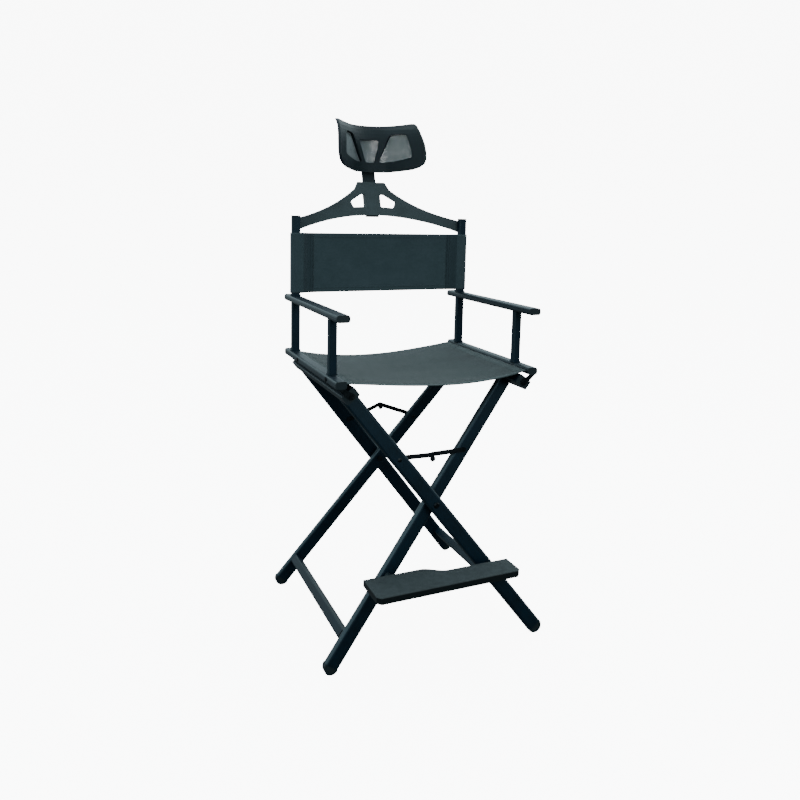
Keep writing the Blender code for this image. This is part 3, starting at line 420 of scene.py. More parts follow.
# %% Plastic, thread and steel
def moulded(name, colour, roughness, grain, shine):
    """Black plastic with a fine even grain and faint flow marks."""
    finish = Finish(name)
    speck = finish.noise(finish.place(), scale=1600.0, detail=2.0)
    cloud = finish.noise(finish.place(), scale=22.0)
    flow = finish.noise(finish.place((9, 9, 60)), scale=1.0)
    finish.set(base_color=finish.mix((cloud * 0.6 + flow * 0.4).above(0.5, soft=0.4),
                                     colour, lighter(colour, 1.5)),
               roughness=roughness - 0.05 + speck * 0.10 + cloud * 0.04,
               specular_ior_level=shine)
    finish.bump(speck, strength=grain, distance=0.08 * MM)
    return finish.material


def plated(name, dark, light):
    """Dark plated steel, a little cloudy."""
    finish = Finish(name)
    cloud = finish.noise(finish.place(), scale=60.0, detail=4.0)
    finish.set(base_color=finish.mix(cloud.above(0.5, soft=0.3), dark, light),
               roughness=0.30 + cloud * 0.14, metallic=0.8)
    finish.bump(cloud, strength=0.2, distance=0.05 * MM)
    return finish.material


PLASTIC = moulded("black_plastic", (0.0080, 0.0150, 0.0185), 0.52, grain=0.5, shine=0.30)
SHELL_PLASTIC = moulded("headrest_plastic", (0.0042, 0.0105, 0.0140), 0.55, grain=0.5, shine=0.28)
BAR_PLASTIC = moulded("bar_plastic", (0.0290, 0.0430, 0.0475), 0.56, grain=0.6, shine=0.30)
BOLT_BLACK = moulded("bolt_black", (0.0012, 0.0026, 0.0036), 0.50, grain=0.3, shine=0.20)
THREAD = moulded("black_thread", (0.0060, 0.0085, 0.0100), 0.80, grain=0.2, shine=0.15)
STEEL = plated("dark_plated_steel", (0.006, 0.010, 0.013), (0.024, 0.030, 0.034))
print("plastic, bolt, thread and steel finishes ready")

# %% [markdown]
# ## Which part has which finish
# The names of the solid parts say what they are, so a few words in them choose the finish.

# %% Dress the solid parts
RULES = (
    (("plug", "foot_", "cap", "footrest_hinge", "footrest_peg"), PLASTIC),
    (("headrest_bar",), BAR_PLASTIC),
    (("headrest_frame", "headrest_stem"), SHELL_PLASTIC),
    (("scissor", "stay", "arm_hinge", "tilt_pin"), STEEL),
    (("leg_rail_a", "bottom_rail_a"), LEG_COATS["rail_a"]),
    (("leg_rail_b", "bottom_rail_b"), LEG_COATS["rail_b"]),
    (("seat_rail", "armrest"), ALONG_Y),
    (("post",), ALONG_Z),
    (("leg_a",), LEG_COATS["leg_a"]),
    (("leg_b",), LEG_COATS["leg_b"]),
)


def dress(name):
    """Give a solid part the finish of the first rule that fits its name."""
    for words, material in RULES:
        if any(word in name for word in words):
            wear(parts[name], material)
            return True
    return False


left_over = [name for name in parts if not dress(name)]
print("parts still to finish:", left_over)

# %% [markdown]
# ## Growing small things with Geometry Nodes
# Stitches follow a line and bolt heads sit on points, so both are grown by a node tree from a bare
# mesh of edges or points. `Growth` builds such a tree with named inputs for its sizes. Its result
# is turned into a plain mesh at once, and the tree is taken off again.


# %% A small language for growth
class Growth(Graph):
    """A Geometry Nodes tree with named inputs, used once for each object that it grows."""

    def __init__(self, name, **sizes):
        super().__init__(bpy.data.node_groups.new(name, "GeometryNodeTree"))
        self.face("Geometry", "INPUT", "NodeSocketGeometry")
        self.face("Geometry", "OUTPUT", "NodeSocketGeometry")
        self.face("Material", "INPUT", "NodeSocketMaterial")
        for label, size in sizes.items():
            self.face(label, "INPUT", "NodeSocketFloat").default_value = size
        self.inputs = self.tree.nodes.new("NodeGroupInput")
        self.result = self.tree.nodes.new("NodeGroupOutput")

    def face(self, label, way, kind):
        """Add a socket to the outside of the tree."""
        return self.tree.interface.new_socket(name=label, in_out=way, socket_type=kind)

    def given(self, label):
        """The value that comes in under a name."""
        return Value(self, self.inputs.outputs[label])

    def turn_to(self, way, axis):
        """A rotation that points a shape's own axis along a direction."""
        return self.node("FunctionNodeAlignRotationToVector", {"axis": axis}, {"Vector": way})

    def close(self, points, shape, turn):
        """Put the shape on each point, make it real and give it its material."""
        placed = self.node("GeometryNodeInstanceOnPoints", None,
                           {"Points": points, "Instance": shape, "Rotation": turn})
        real = self.node("GeometryNodeRealizeInstances", None, {"Geometry": placed})
        dressed = self.node("GeometryNodeSetMaterial", None,
                            {"Geometry": real, "Material": self.given("Material")})
        self.put(self.result.inputs["Geometry"], dressed)

    def grow(self, name, base, material, **sizes):
        """Grow an object from a base mesh, as a plain mesh."""
        grown = stand(name, base)
        live = grown.modifiers.new("growth", "NODES")
        live.node_group = self.tree
        for item in self.tree.interface.items_tree:
            if item.in_out == "INPUT" and item.name == "Material":
                live[item.identifier] = material
            elif item.in_out == "INPUT" and item.name in sizes:
                live[item.identifier] = sizes[item.name]
        make_plain(grown)
        grown.data.name = name
        print(name, "has", len(grown.data.polygons), "faces")
        return grown


print("growth helpers ready")

# %% [markdown]
# ## Two trees
# A stitch is a small stretched ball, turned along its seam. A bolt head is a stack of three discs,
# the smallest with six sides.

# %% Stitches and bolt heads
# The discs of a head: sides, share of the radius, thickness and middle as shares of the height.
HEAD_DISCS = ((18, 1.0, 0.62, 0.31), (18, 0.82, 0.30, 0.77), (6, 0.46, 0.12, 0.95))


def make_stitches():
    """Short capsules laid along the edges of a bare mesh."""
    tree = Growth("stitch_rows", Pitch=3.6 * MM, Length=2.6 * MM, Thread=0.35 * MM)
    line = tree.node("GeometryNodeMeshToCurve", None, {"Mesh": tree.given("Geometry")})
    dots = tree.node("GeometryNodeCurveToPoints", {"mode": "LENGTH"},
                     {"Curve": line, "Length": tree.given("Pitch")})
    along = Value(tree, dots.socket.node.outputs["Tangent"])
    ball = tree.node("GeometryNodeMeshUVSphere", None, {"Segments": 6, "Rings": 4, "Radius": 1.0})
    size = tree.node("ShaderNodeCombineXYZ", None,
                     {"X": tree.given("Length") * 0.5, "Y": tree.given("Thread"),
                      "Z": tree.given("Thread")})
    stitch = tree.node("GeometryNodeTransform", None, {"Geometry": ball, "Scale": size})
    tree.close(dots, stitch, tree.turn_to(along, "X"))
    return tree


def make_bolt_heads():
    """Low stepped heads on points that carry the direction they face."""
    tree = Growth("bolt_heads", Radius=5.0 * MM, Height=3.0 * MM)
    radius, height = tree.given("Radius"), tree.given("Height")
    head = tree.node("GeometryNodeJoinGeometry")
    for sides, wide, tall, lift in HEAD_DISCS:
        body = tree.node("GeometryNodeMeshCylinder", None,
                         {"Vertices": sides, "Radius": radius * wide, "Depth": height * tall})
        move = tree.node("ShaderNodeCombineXYZ", None, {"Z": height * lift})
        disc = tree.node("GeometryNodeTransform", None, {"Geometry": body, "Translation": move})
        tree.tree.links.new(disc.socket, head.socket.node.inputs[0])
    facing = tree.node("GeometryNodeInputNamedAttribute", {"data_type": "FLOAT_VECTOR"},
                       {"Name": "facing"})
    tree.close(tree.given("Geometry"), head, tree.turn_to(facing, "Z"))
    return tree


def bare_lines(name, lines):
    """A mesh of edges through lists of points."""
    mesh = bmesh.new()
    for line in lines:
        spots = [mesh.verts.new(point) for point in line]
        for first, second in zip(spots, spots[1:]):
            mesh.edges.new((first, second))
    return filled(name, mesh)


def bare_points(name, places, ways):
    """A mesh of loose points, each with the direction that it faces."""
    data = bpy.data.meshes.new(name)
    data.from_pydata([tuple(place) for place in places], [], [])
    data.attributes.new("facing", "FLOAT_VECTOR", "POINT").data.foreach_set(
        "vector", [value for way in ways for value in way])
    return data


STITCHES, BOLT_HEADS = make_stitches(), make_bolt_heads()
print("trees:", STITCHES.tree.name, "and", BOLT_HEADS.tree.name)

# %% [markdown]
# ## Cloth
# Both canvases are a plain weave of thick yarn: one set of threads goes over and under the other.
# The weave is drawn on the cloth's own map, whose units are metres across and along the cloth, so a
# thread keeps its width where the cloth bends. Slow blotches in the colour come from uneven dye,
# and the double cloth of a hem shows as a low ridge beside its stitches. The hems are also painted:
# lighter on the seat as painted light, darker on the back's sleeves as painted shade.

# %% A plain weave
WEAVE_PITCH = 1.7 * MM
CLOTH_MAP = "cloth"


def canvas_finish(name, dark, light, cloudiness, side_hem, end_hem, hem_painted_tone):
    """A plain weave on the cloth's map.

    side_hem is the cloth's middle, its half width and the hem's depth; end_hem is where the cloth
    starts and ends along its length, and the hem's depth. The last argument is the colour painted
    on
    the hems: painted light where it is lighter than the cloth, painted shade where it is darker."""
    finish = Finish(name)
    where = finish.place(uv=CLOTH_MAP)
    across, along = finish.axis(where, 0), finish.axis(where, 1)
    step = math.pi / WEAVE_PITCH
    warp, weft = finish.wave(across * (2 * step)), finish.wave(along * (2 * step))
    over = finish.wave(across * step) * finish.wave(along * step)
    under = (1 - finish.wave(across * step)) * (1 - finish.wave(along * step))
    thread = (warp * weft) ** 0.5 * 0.6 + (over + under) * 0.8
    slub = finish.noise(finish.place((12, 420, 1), uv=CLOTH_MAP), scale=1.0)
    cloud = finish.noise(where, scale=9.0, detail=4.0, rough=0.6)
    patch = finish.noise(where, scale=38.0, detail=4.0, rough=0.6)
    dye = (cloud * 0.62 + patch * 0.38).above(0.5, soft=cloudiness)
    tone = dye * 0.5 + (thread - 0.5) * 0.45 + slub * 0.45
    (middle, half, side_depth), (front, rear, end_depth) = side_hem, end_hem
    from_side = (half - finish.size(across - middle)) * (1 / side_depth)
    from_end = (along - front).least(rear - along) * (1 / end_depth)
    # The hem mask raises a real ridge in the bump and paints the hem's tone into the colour:
    # painted light on the seat, painted shade on the back's sleeves.
    hem_ridge_and_painted_tone = 1 - from_side.least(from_end).above(1.0, soft=0.08)
    finish.set(base_color=finish.mix(hem_ridge_and_painted_tone * 0.6, finish.mix(tone, dark, light), hem_painted_tone),
               roughness=0.86 + slub * 0.1, sheen_weight=0.10, sheen_roughness=0.5,
               specular_ior_level=0.22)
    finish.bump(thread * 0.8 + slub * 0.2 + hem_ridge_and_painted_tone * 0.9, strength=0.75, distance=0.45 * MM)
    return finish.material


print("yarns in 10 cm of cloth:", round(0.1 / WEAVE_PITCH))

# %% [markdown]
# ## Building cloth
# A canvas is a strip that follows a path from one tube to the other. `weave_strip` takes the path
# and the cloth's size across it, lays a grid over the paths and writes the map in metres. Thickness
# comes from Solidify, which is applied so that the piece is a plain mesh.


# %% A strip of cloth with its map
def even(count, first=0.0, last=1.0):
    """Numbers from first to last in even steps."""
    return [first + (last - first) * step / (count - 1) for step in range(count)]


def measured(path):
    """Distances along a path of points, from its start."""
    total, out = 0.0, [0.0]
    for before, after in zip(path, path[1:]):
        total += (after - before).length
        out.append(total)
    return out


def weave_strip(name, path_at, rows, length, thickness, material):
    """Cloth through the paths path_at(share) for shares 0 to 1; length is its size across them.

    Returns the cloth and the length of its longest path."""
    paths = [path_at(share) for share in even(rows)]
    spans = [measured(path) for path in paths]
    longest = max(span[-1] for span in spans)
    mesh = bmesh.new()
    grid = [[mesh.verts.new(point) for point in path] for path in paths]
    uv = mesh.loops.layers.uv.new(CLOTH_MAP)
    for row in range(rows - 1):
        for column in range(len(spans[0]) - 1):
            spots = [(row, column), (row, column + 1), (row + 1, column + 1), (row + 1, column)]
            face = mesh.faces.new([grid[r][c] for r, c in spots])
            for loop, (r, c) in zip(face.loops, spots):
                loop[uv].uv = ((longest - spans[r][-1]) / 2 + spans[r][c],
                               length * r / (rows - 1))
    cloth = stand(name, filled(name, mesh))
    skin = cloth.modifiers.new("thickness", "SOLIDIFY")
    skin.thickness, skin.offset = thickness, 0.0
    make_plain(cloth)
    wear(cloth, material)
    cloth.data.shade_smooth()
    print(name, "is", round(longest, 3), "m by", round(length, 3), "m")
    return cloth, longest


print("shares of a path in five steps:", even(6))

# %% [markdown]
# ## The seat
# The seat hangs between the two seat rails. Its front sags most toward the right and its rear
# toward the left, because the frame never stands quite square. Its sides run into the slots of the
# rails over a doubled strip, and its front and rear edges are folded under and sewn.

# %% The seat canvas
seat_low, seat_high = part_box("seat_canvas")
seat_depth = seat_high.y - seat_low.y
SEAT_EDGE = seat_high.z
SEAT_THICK = 1.6 * MM
SEAT_SAG_FRONT, SEAT_SAG_REAR = 0.0225, 0.0250
SEAT_LEAN_FRONT, SEAT_LEAN_REAR = 0.45, -0.30    # where it sags most: above 0 is to the right
SEAT_DIP = 3.0 * MM            # the middle hangs lower than the hems
SEAT_SLACK = 1.0 * MM          # slow waves in the cloth
SEAT_PULL = 0.6 * MM           # small tucks that run in from the rails
SEAT_PULL_FROM, SEAT_PULL_OVER = 0.72, 0.28
SEAT_COLUMNS, SEAT_ROWS = 121, 81
HEM_SIDE, HEM_END = 0.027, 0.020


def seat_point(share_x, share_y, lift=0.0):
    """A point of the seat; both shares run from 0 to 1, share_y from front to rear."""
    t = 2 * share_x - 1
    x = seat_high.x * t
    y = seat_low.y + seat_depth * share_y
    sag = SEAT_SAG_FRONT + (SEAT_SAG_REAR - SEAT_SAG_FRONT) * share_y
    lean = SEAT_LEAN_FRONT + (SEAT_LEAN_REAR - SEAT_LEAN_FRONT) * share_y
    bowl = (1 - t * t) * (1 + lean * t)
    dip = SEAT_DIP * math.sin(math.pi * share_y) * bowl
    slack = SEAT_SLACK * noise.noise(Vector((x * 9, y * 14, 3.0))) * bowl
    tucks = math.sin(y * 95 + 2.2 * noise.noise(Vector((x * 6, y * 6, 0))))
    pull = SEAT_PULL * tucks * max(0.0, abs(t) - SEAT_PULL_FROM) / SEAT_PULL_OVER
    return Vector((x, y, SEAT_EDGE - SEAT_THICK / 2 - sag * bowl - dip + slack + pull + lift))


seat_span = measured([seat_point(share, 0.5) for share in even(61)])[-1]
# The seat's hems are painted lighter than its cloth: painted light on the side strips and folded
# edges.
SEAT_CLOTH = canvas_finish(
    "seat_canvas_weave", (0.0098, 0.0176, 0.0198), (0.0252, 0.0380, 0.0406), 0.34,
    side_hem=(seat_span / 2, seat_span / 2, HEM_SIDE), end_hem=(0.0, seat_depth, HEM_END),
    hem_painted_tone=(0.0410, 0.0600, 0.0640))
seat, seat_width = weave_strip(
    "seat_sling", lambda share: [seat_point(spot, share) for spot in even(SEAT_COLUMNS)],
    SEAT_ROWS, seat_depth, SEAT_THICK, SEAT_CLOTH)
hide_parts("seat_canvas")

# %% [markdown]
# ## Seat stitches
# Two rows run along each side strip and one along each folded edge. They lie on top of the cloth,
# so the rows are lifted by half its thickness.

# %% Rows on the seat
STITCH_LIFT = 0.1 * MM
SIDE_ROW_GAP = 0.006           # between the two rows of a side strip


def seat_rows():
    """Stitch lines on the seat: along its sides, then along its front and rear hems."""
    up = SEAT_THICK / 2 + STITCH_LIFT
    lines = []
    for inset in (HEM_SIDE, HEM_SIDE - SIDE_ROW_GAP):
        share = inset / (seat_high.x - seat_low.x)
        for start in (share, 1 - share):
            lines.append([seat_point(start, spot, up) for spot in even(81)])
    share = HEM_END / seat_depth
    lines += [[seat_point(spot, start, up) for spot in even(121)] for start in (share, 1 - share)]
    return lines


seat_stitches = STITCHES.grow("seat_stitches", bare_lines("seat_rows", seat_rows()), THREAD)

# %% [markdown]
# ## The back
# The back is sewn from a middle panel and two sleeves. Each sleeve is a strip that goes round a
# back post and is sewn to the panel with two rows, which leave a flat double band beside the post.

# %% Sizes of the back
back_low, back_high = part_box("back_canvas")
post_low, post_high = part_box("back_post_right")
POST_X = (post_low.x + post_high.x) / 2
POST_MIDDLE_Y = (back_low.y + back_high.y) / 2
BACK_THICK = 1.3 * MM
back_height = back_high.z - back_low.z
sleeve_outer = back_high.x - BACK_THICK / 2
sleeve_inner = 2 * POST_X - sleeve_outer
sleeve_depth = (back_high.y - back_low.y - BACK_THICK) / 2
SLEEVE_CORNER = 5.5 * MM       # the bend round a post's corner
SLEEVE_TAPER = 0.026           # from the sleeve's inner face to the seam, where its layers meet
SLEEVE_BAND = 0.014            # the flat double band that is sewn to the panel
SLEEVE_PUFF, PUFF_REACH = 0.6 * MM, 0.016
SEAM_X = sleeve_inner - SLEEVE_TAPER
PANEL_BOW, PANEL_RIPPLE, PANEL_PULL = 3.5 * MM, 0.8 * MM, 0.4 * MM
PANEL_PULL_FROM, PANEL_PULL_OVER = 0.8, 0.2
print("the back panel is", round(2 * SEAM_X, 3), "m wide between its seams")


# %% Shapes of the back
def sleeve_path():
    """Round the right post, from the front end of the band to its back end, seen from above."""
    flat = BACK_THICK * 1.05
    band = [SLEEVE_BAND * step / 4 for step in range(5)]
    reach = sleeve_inner - SEAM_X
    swell = [(step / 8, 0.5 - 0.5 * math.cos(math.pi * step / 8)) for step in range(1, 9)]
    points = [Vector((SEAM_X - SLEEVE_BAND + part, -flat, 0)) for part in band]
    points += [Vector((SEAM_X + reach * s, -flat - (sleeve_depth - flat) * e, 0))
               for s, e in swell]
    for centre_y, start in ((SLEEVE_CORNER - sleeve_depth, -math.pi / 2),
                            (sleeve_depth - SLEEVE_CORNER, 0.0)):
        for step in range(9):
            angle = start + math.pi / 2 * step / 8
            points.append(Vector((sleeve_outer - SLEEVE_CORNER + SLEEVE_CORNER * math.cos(angle),
                                  centre_y + SLEEVE_CORNER * math.sin(angle), 0)))
    points += [Vector((SEAM_X + reach * s, flat + (sleeve_depth - flat) * e, 0))
               for s, e in swell[::-1]]
    return points + [Vector((SEAM_X - part, flat, 0)) for part in band]


SLEEVE = sleeve_path()
SLEEVE_SPAN = measured(SLEEVE)[-1]


def sleeve_row(side, share):
    """The sleeve's path at one height; side is -1 for the left post."""
    z = back_low.z + back_height * share
    row = []
    for p in SLEEVE:
        loose = max(0.0, 1 - abs(p.x - (SEAM_X + sleeve_inner) / 2) / PUFF_REACH)
        puff = SLEEVE_PUFF * noise.noise(Vector((side * 5 + p.x * 20, z * 26, 2.0))) * loose
        row.append(Vector((side * p.x, POST_MIDDLE_Y + p.y + puff, z)))
    return row if side > 0 else row[::-1]


def panel_point(t, share, forward=0.0):
    """A point of the middle panel; t runs from -1 to 1 between the seams."""
    z = back_low.z + back_height * share
    slack = 1 - t * t
    bow = PANEL_BOW * slack * math.sin(math.pi * share)
    ripple = PANEL_RIPPLE * noise.noise(Vector((t * 3.2, z * 12, 1.0))) * slack
    tucks = math.sin(z * 120 + 3 * t)
    pull = PANEL_PULL * tucks * max(0.0, abs(t) - PANEL_PULL_FROM) / PANEL_PULL_OVER
    return Vector((SEAM_X * t, POST_MIDDLE_Y + bow + ripple + pull - forward, z))


print("round a post the sleeve is", round(SLEEVE_SPAN, 3), "m long")

# %% The back's pieces
BACK_DARK, BACK_LIGHT = (0.0255, 0.0430, 0.0510), (0.0510, 0.0770, 0.0870)
BACK_CLOUDINESS = 0.40
PANEL_COLUMNS, PANEL_ROWS, SLEEVE_ROWS = 101, 45, 37
NO_SIDE_HEM, NO_END_HEM = (0.0, 2.0, 1.0), (-2.0, 2.0, 1.0)      # hems far outside the cloth
PANEL_CLOTH = canvas_finish(
    "back_panel_weave", BACK_DARK, BACK_LIGHT, BACK_CLOUDINESS,
    side_hem=NO_SIDE_HEM, end_hem=(0.0, back_height, 0.016), hem_painted_tone=(0.0360, 0.0570, 0.0660))
# The sleeves' bands are painted darker than their cloth: painted shade beside the seams.
SLEEVE_CLOTH = canvas_finish(
    "back_sleeve_weave", BACK_DARK, BACK_LIGHT, BACK_CLOUDINESS,
    side_hem=(SLEEVE_SPAN / 2, SLEEVE_SPAN / 2, 0.036), end_hem=NO_END_HEM,
    hem_painted_tone=(0.0180, 0.0310, 0.0380))
panel, panel_width = weave_strip(
    "back_panel", lambda share: [panel_point(t, share) for t in even(PANEL_COLUMNS, -1.0)],
    PANEL_ROWS, back_height, BACK_THICK, PANEL_CLOTH)
sleeves, sleeve_width = {}, 0.0
for word, side in SIDES:
    sleeves[word], sleeve_width = weave_strip(
        f"back_sleeve_{word}", lambda share, side=side: sleeve_row(side, share),
        SLEEVE_ROWS, back_height, BACK_THICK, SLEEVE_CLOTH)
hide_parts("back_canvas")

# %% [markdown]
# ## Back stitches
# Two rows hold each band to the panel and one row runs along the folded top and bottom edges. The
# rows on a band ride with its post, and those on the panel ride with the panel.

# %% Rows on the back
BAND_ROWS = (0.0025, 0.0100)       # from the band's free edge
BAND_FACE = BACK_THICK * 1.55      # from the cloth's middle to the band's outside
HEM_ROW = 0.012                    # from the panel's top and bottom edge
HEM_ROW_SHARE = 0.94               # of the panel's width


def band_rows(side):
    """Two stitch lines down each face of a sleeve's band."""
    lines = []
    for inset in BAND_ROWS:
        for face in (-1, 1):
            y = POST_MIDDLE_Y + face * (BAND_FACE + STITCH_LIFT)
            x = side * (SEAM_X - SLEEVE_BAND + inset)
            lines.append([Vector((x, y, back_low.z + back_height * share))
                          for share in even(41, 0.01, 0.99)])
    return lines


def panel_rows():
    """The hem stitches along the panel's top and bottom edge, on its front and back."""
    inset = HEM_ROW / back_height
    off = BACK_THICK / 2 + STITCH_LIFT
    return [[panel_point(HEM_ROW_SHARE * t, share, face * off) for t in even(101, -1.0)]
            for share in (inset, 1 - inset) for face in (-1, 1)]


band_stitches = {word: STITCHES.grow(f"back_band_stitches_{word}",
                                     bare_lines("band_rows", band_rows(side)), THREAD)
                 for word, side in SIDES}
panel_stitches = STITCHES.grow("back_panel_stitches", bare_lines("panel_rows", panel_rows()),
                               THREAD)

# %% [markdown]
# ## How the canvases ride on the frame
# When the chair folds, the arm frames close together and the cloth crumples between them. The seat
# and the panel ride on the left arm frame, each with its own copy of its mesh. The shares of the
# width they keep when folded are set and printed, but the cloth is not flattened here. Each sleeve
# stays on its own post.

SEAT_KEEP, PANEL_KEEP = 0.177, 0.084
LEFT_SLOT = Vector((seat_low.x, 0.0, SEAT_EDGE))
LEFT_SEAM = Vector((-SEAM_X, POST_MIDDLE_Y, back_low.z))
for piece, node, keep, anchor in ((seat, "seat_canvas", SEAT_KEEP, LEFT_SLOT),
                                  (seat_stitches, "seat_canvas", SEAT_KEEP, LEFT_SLOT),
                                  (panel, "back_canvas", PANEL_KEEP, LEFT_SEAM),
                                  (panel_stitches, "back_canvas", PANEL_KEEP, LEFT_SEAM)):
    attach(piece, "arm_frame_left")
    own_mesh(piece)
for word in sleeves:
    for piece in (sleeves[word], band_stitches[word]):
        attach(piece, f"arm_frame_{word}")
print("when folded the seat keeps", SEAT_KEEP, "and the back panel", PANEL_KEEP, "of the width")

# %% [markdown]
# ## The headrest net
# The windows of the headrest are closed by a stretched net behind the shell. The net follows the
# shell: curved round the head in the middle, straight at the wings and rolled back at the top. Its
# threads are far finer than the mesh could hold, so the holes are cut by the material's Alpha.

# %% The shell's surface
shell_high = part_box("headrest_frame")[1]
SHELL_THICK, SHELL_RADIUS, SHELL_TURN = 0.0090, 0.0750, math.radians(50)
SHELL_LEAN = 0.2000                          # it leans back this much for each metre up
SHELL_ROLL, SHELL_CURL = 0.0110, 0.0060      # its top rolls back by this, and by more at the wings
SHELL_TOP, SHELL_PEAK = 0.0755, 0.0830       # its top edge in the middle, and its highest point
SHELL_Z = shell_high.z - SHELL_PEAK
SHELL_Y = shell_high.y - SHELL_LEAN * SHELL_TOP - SHELL_THICK / 2 - SHELL_ROLL


def shell_point(u, v, out):
    """A point u across the shell, v up it and out behind its middle."""
    turn = min(abs(u) / SHELL_RADIUS, SHELL_TURN)
    wing = abs(u) - SHELL_RADIUS * turn
    rise = max(0.0, v) / SHELL_TOP
    curl = SHELL_CURL * turn / SHELL_TURN * rise ** 6
    radius = SHELL_RADIUS + out + SHELL_ROLL * rise ** 2 + curl
    x = math.copysign(radius * math.sin(turn) + wing * math.cos(turn), u)
    back = radius * math.cos(turn) - wing * math.sin(turn)
    return Vector((x, SHELL_Y - SHELL_RADIUS + back + SHELL_LEAN * v, SHELL_Z + v))


net_low, net_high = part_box("headrest_net")
NET_BOTTOM, NET_TOP = net_low.z - SHELL_Z, net_high.z - SHELL_Z
NET_TALL = NET_TOP - NET_BOTTOM
NET_HALF, NET_CORNER, NET_THICK = 0.1555, 0.018, 0.4 * MM
NET_GAP = 0.3 * MM             # between the shell and the net
NET_OUT = SHELL_THICK / 2 + NET_GAP + NET_THICK / 2
NET_COLUMNS, NET_ROWS = 97, 41


def net_reach(v):
    """Half the net's width at a height: its corners are rounded."""
    near = min(v - NET_BOTTOM, NET_TOP - v, NET_CORNER)
    return NET_HALF - NET_CORNER + math.sqrt(max(0.0, NET_CORNER ** 2 - (NET_CORNER - near) ** 2))


def net_row(share):
    """The net's path at one height."""
    v = NET_BOTTOM + NET_TALL * share
    return [shell_point(net_reach(v) * t, v, NET_OUT) for t in even(NET_COLUMNS, -1.0)]


print("the net is", round(NET_TALL, 3), "m tall")

# %% [markdown]
# ## The net's threads
# A warp-knitted net has rows of small openings, each row half a step off the next, and slack rows
# show as faint level bands.

# %% Threads and net
NET_STEP, NET_SLANT = 2.0 * MM, 0.6
NET_DARK, NET_LIGHT = (0.080, 0.100, 0.106), (0.200, 0.225, 0.232)


def net_finish():
    """A fine net, see-through between its threads, on its map in metres."""
    finish = Finish("headrest_net_threads")
    where = finish.place(uv=CLOTH_MAP)
    across, up = finish.axis(where, 0), finish.axis(where, 1)
    step = 2 * math.pi / NET_STEP
    left = finish.wave((across + up * NET_SLANT) * step)
    right = finish.wave((across - up * NET_SLANT) * step)
    thread = left.most(right)
    bands = finish.noise(finish.place((6, 330, 1), uv=CLOTH_MAP), scale=1.0)
    cloud = finish.noise(where, scale=40.0)
    tone = (bands * 0.6 + cloud * 0.4).above(0.5, soft=0.4) * 0.6 + thread * 0.4
    finish.set(base_color=finish.mix(tone, NET_DARK, NET_LIGHT), roughness=0.75,
               alpha=thread.above(0.069, soft=0.055), specular_ior_level=0.25)
    finish.bump(thread, strength=0.5, distance=0.3 * MM)
    return finish.material


net, net_width = weave_strip(
    "headrest_net_mesh", net_row, NET_ROWS, NET_TALL, NET_THICK, net_finish())
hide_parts("headrest_net")

# %% [markdown]
# ## Piping round the net
# The net's raw edge is bound with a round bead. It runs in a closed loop a little inside the edge.

# %% The bead
PIPING_RADIUS, PIPING_INSET = 1.4 * MM, 0.8 * MM


def bead(name, points, radius, material, sides=8):
    """A closed round bead through a loop of points."""
    mesh = bmesh.new()
    count = len(points)
    around = [2 * math.pi * s / sides for s in range(sides)]
    rings = []
    for index, point in enumerate(points):
        along = (points[(index + 1) % count] - points[index - 1]).normalized()
        side = along.cross(Vector((0, 1, 0))).normalized()
        top = side.cross(along)
        rings.append([mesh.verts.new(point + side * (radius * math.cos(a))
                                     + top * (radius * math.sin(a))) for a in around])
    for ring, after in zip(rings, rings[1:] + rings[:1]):
        for s in range(sides):
            n = (s + 1) % sides
            mesh.faces.new((ring[s], ring[n], after[n], after[s]))
    bmesh.ops.recalc_face_normals(mesh, faces=mesh.faces)
    made = stand(name, filled(name, mesh))
    wear(made, material)
    made.data.shade_smooth()
    print(name, "has", len(made.data.polygons), "faces")
    return made


def net_edge():
    """The loop of points round the net, a little inside its edge."""
    levels = even(NET_ROWS, NET_BOTTOM + PIPING_INSET, NET_TOP - PIPING_INSET)
    widest = [net_reach(level) for level in levels]
    right = [shell_point(reach, level, NET_OUT) for reach, level in zip(widest, levels)]
    left = [shell_point(-reach, level, NET_OUT) for reach, level in zip(widest, levels)]
    across = even(61, -1.0)[1:-1]
    top = [shell_point(-widest[-1] * t, levels[-1], NET_OUT) for t in across]
    bottom = [shell_point(widest[0] * t, levels[0], NET_OUT) for t in across]
    return right + top + left[::-1] + bottom


piping = bead("headrest_net_piping", net_edge(), PIPING_RADIUS, THREAD)
for piece in (net, piping):
    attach(piece, "headrest")

# %% [markdown]
# ## Bolt heads
# Each seat rail is held from outside by two round bolts at half its height. One node tree grows the
# heads of both rails.

# %% Bolts on the rails
BOLT_UP = 0.0102
BOLT_FROM_FRONT, BOLT_FROM_REAR = 0.0775, 0.1380
BOLT_RADIUS, BOLT_HEIGHT = 6.2 * MM, 2.6 * MM


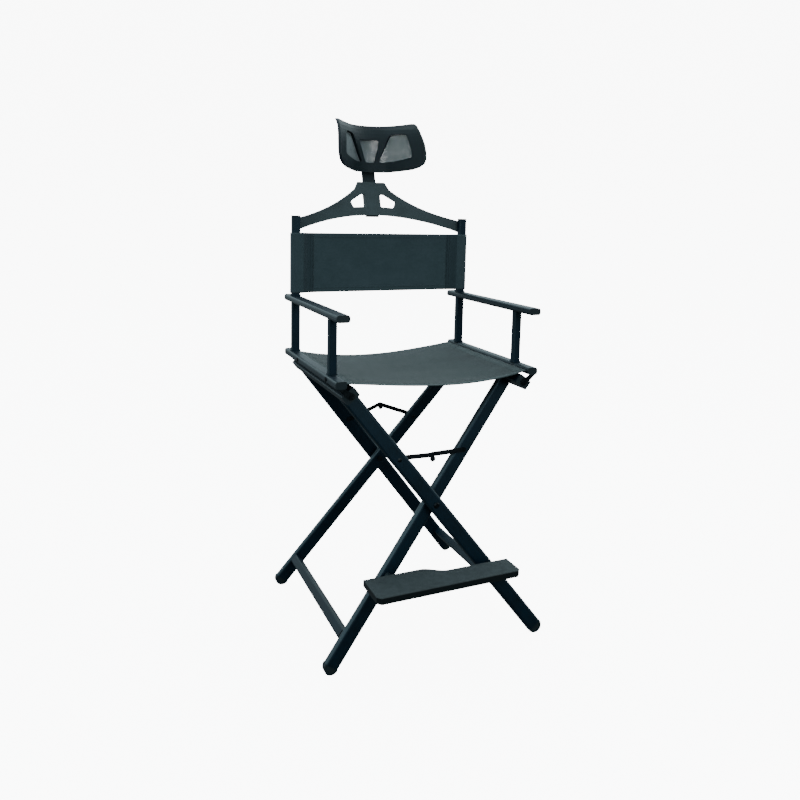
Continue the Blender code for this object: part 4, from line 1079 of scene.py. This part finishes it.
def rail_bolts(word, side):
    """Two points on the outer face of a seat rail."""
    low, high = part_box(f"seat_rail_{word}")
    x = high.x if side > 0 else low.x
    spots = [Vector((x, y, low.z + BOLT_UP))
             for y in (low.y + BOLT_FROM_FRONT, high.y - BOLT_FROM_REAR)]
    return bare_points(f"rail_bolt_spots_{word}", spots, [(side, 0, 0)] * 2)


for word, side in SIDES:
    bolts = BOLT_HEADS.grow(f"seat_rail_bolts_{word}", rail_bolts(word, side), BOLT_BLACK,
                            Radius=BOLT_RADIUS, Height=BOLT_HEIGHT)
    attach(bolts, f"arm_frame_{word}")

# %% [markdown]
# ## The footrest board
# The board's top has a rough non-slip coat that is scuffed and dusty, while its edges are plain
# dark plastic. Height on the board tells the two apart.

# %% The board
board_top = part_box("footrest_board")[1].z
BOARD_EDGE = (0.0035, 0.0070, 0.0090)
GRIT_DARK, GRIT_LIGHT = (0.0200, 0.0270, 0.0295), (0.0500, 0.0620, 0.0660)


def board_finish():
    """Dark edges under a rough, mottled top coat."""
    finish = Finish("footrest_grip")
    where = finish.place()
    top = finish.axis(where, 2).above(board_top - 1.2 * MM, soft=0.6 * MM)
    grit = finish.noise(where, scale=900.0, rough=0.7)
    blotch = finish.noise(where, scale=60.0, detail=5.0, rough=0.65)
    cloud = finish.noise(where, scale=11.0)
    mottle = (blotch * 0.45 + cloud * 0.3 + grit * 0.25).above(0.5, soft=0.4)
    coat = finish.mix(mottle, GRIT_DARK, GRIT_LIGHT)
    finish.set(base_color=finish.mix(top, BOARD_EDGE, coat),
               roughness=0.5 + top * 0.35 + grit * 0.08, specular_ior_level=0.30)
    finish.bump((grit * 0.7 + blotch * 0.3) * top, strength=0.6, distance=0.5 * MM)
    return finish.material


wear(parts["footrest_board"], board_finish())
print("the board's top is", round(board_top, 3), "m above the floor")

# %% [markdown]
# ## The studio's surface
# The paper shines by itself, as a backdrop does when it is lit from behind.

# %% Pale paper
PAPER_GLOW = 9.0
paper = Finish("pale_paper")
paper.set(base_color=(0.90, 0.90, 0.90), roughness=0.9, emission_color=(1.0, 1.0, 1.0),
          emission_strength=PAPER_GLOW)
wear(sweep, paper.material)
print("the paper glows at", PAPER_GLOW)
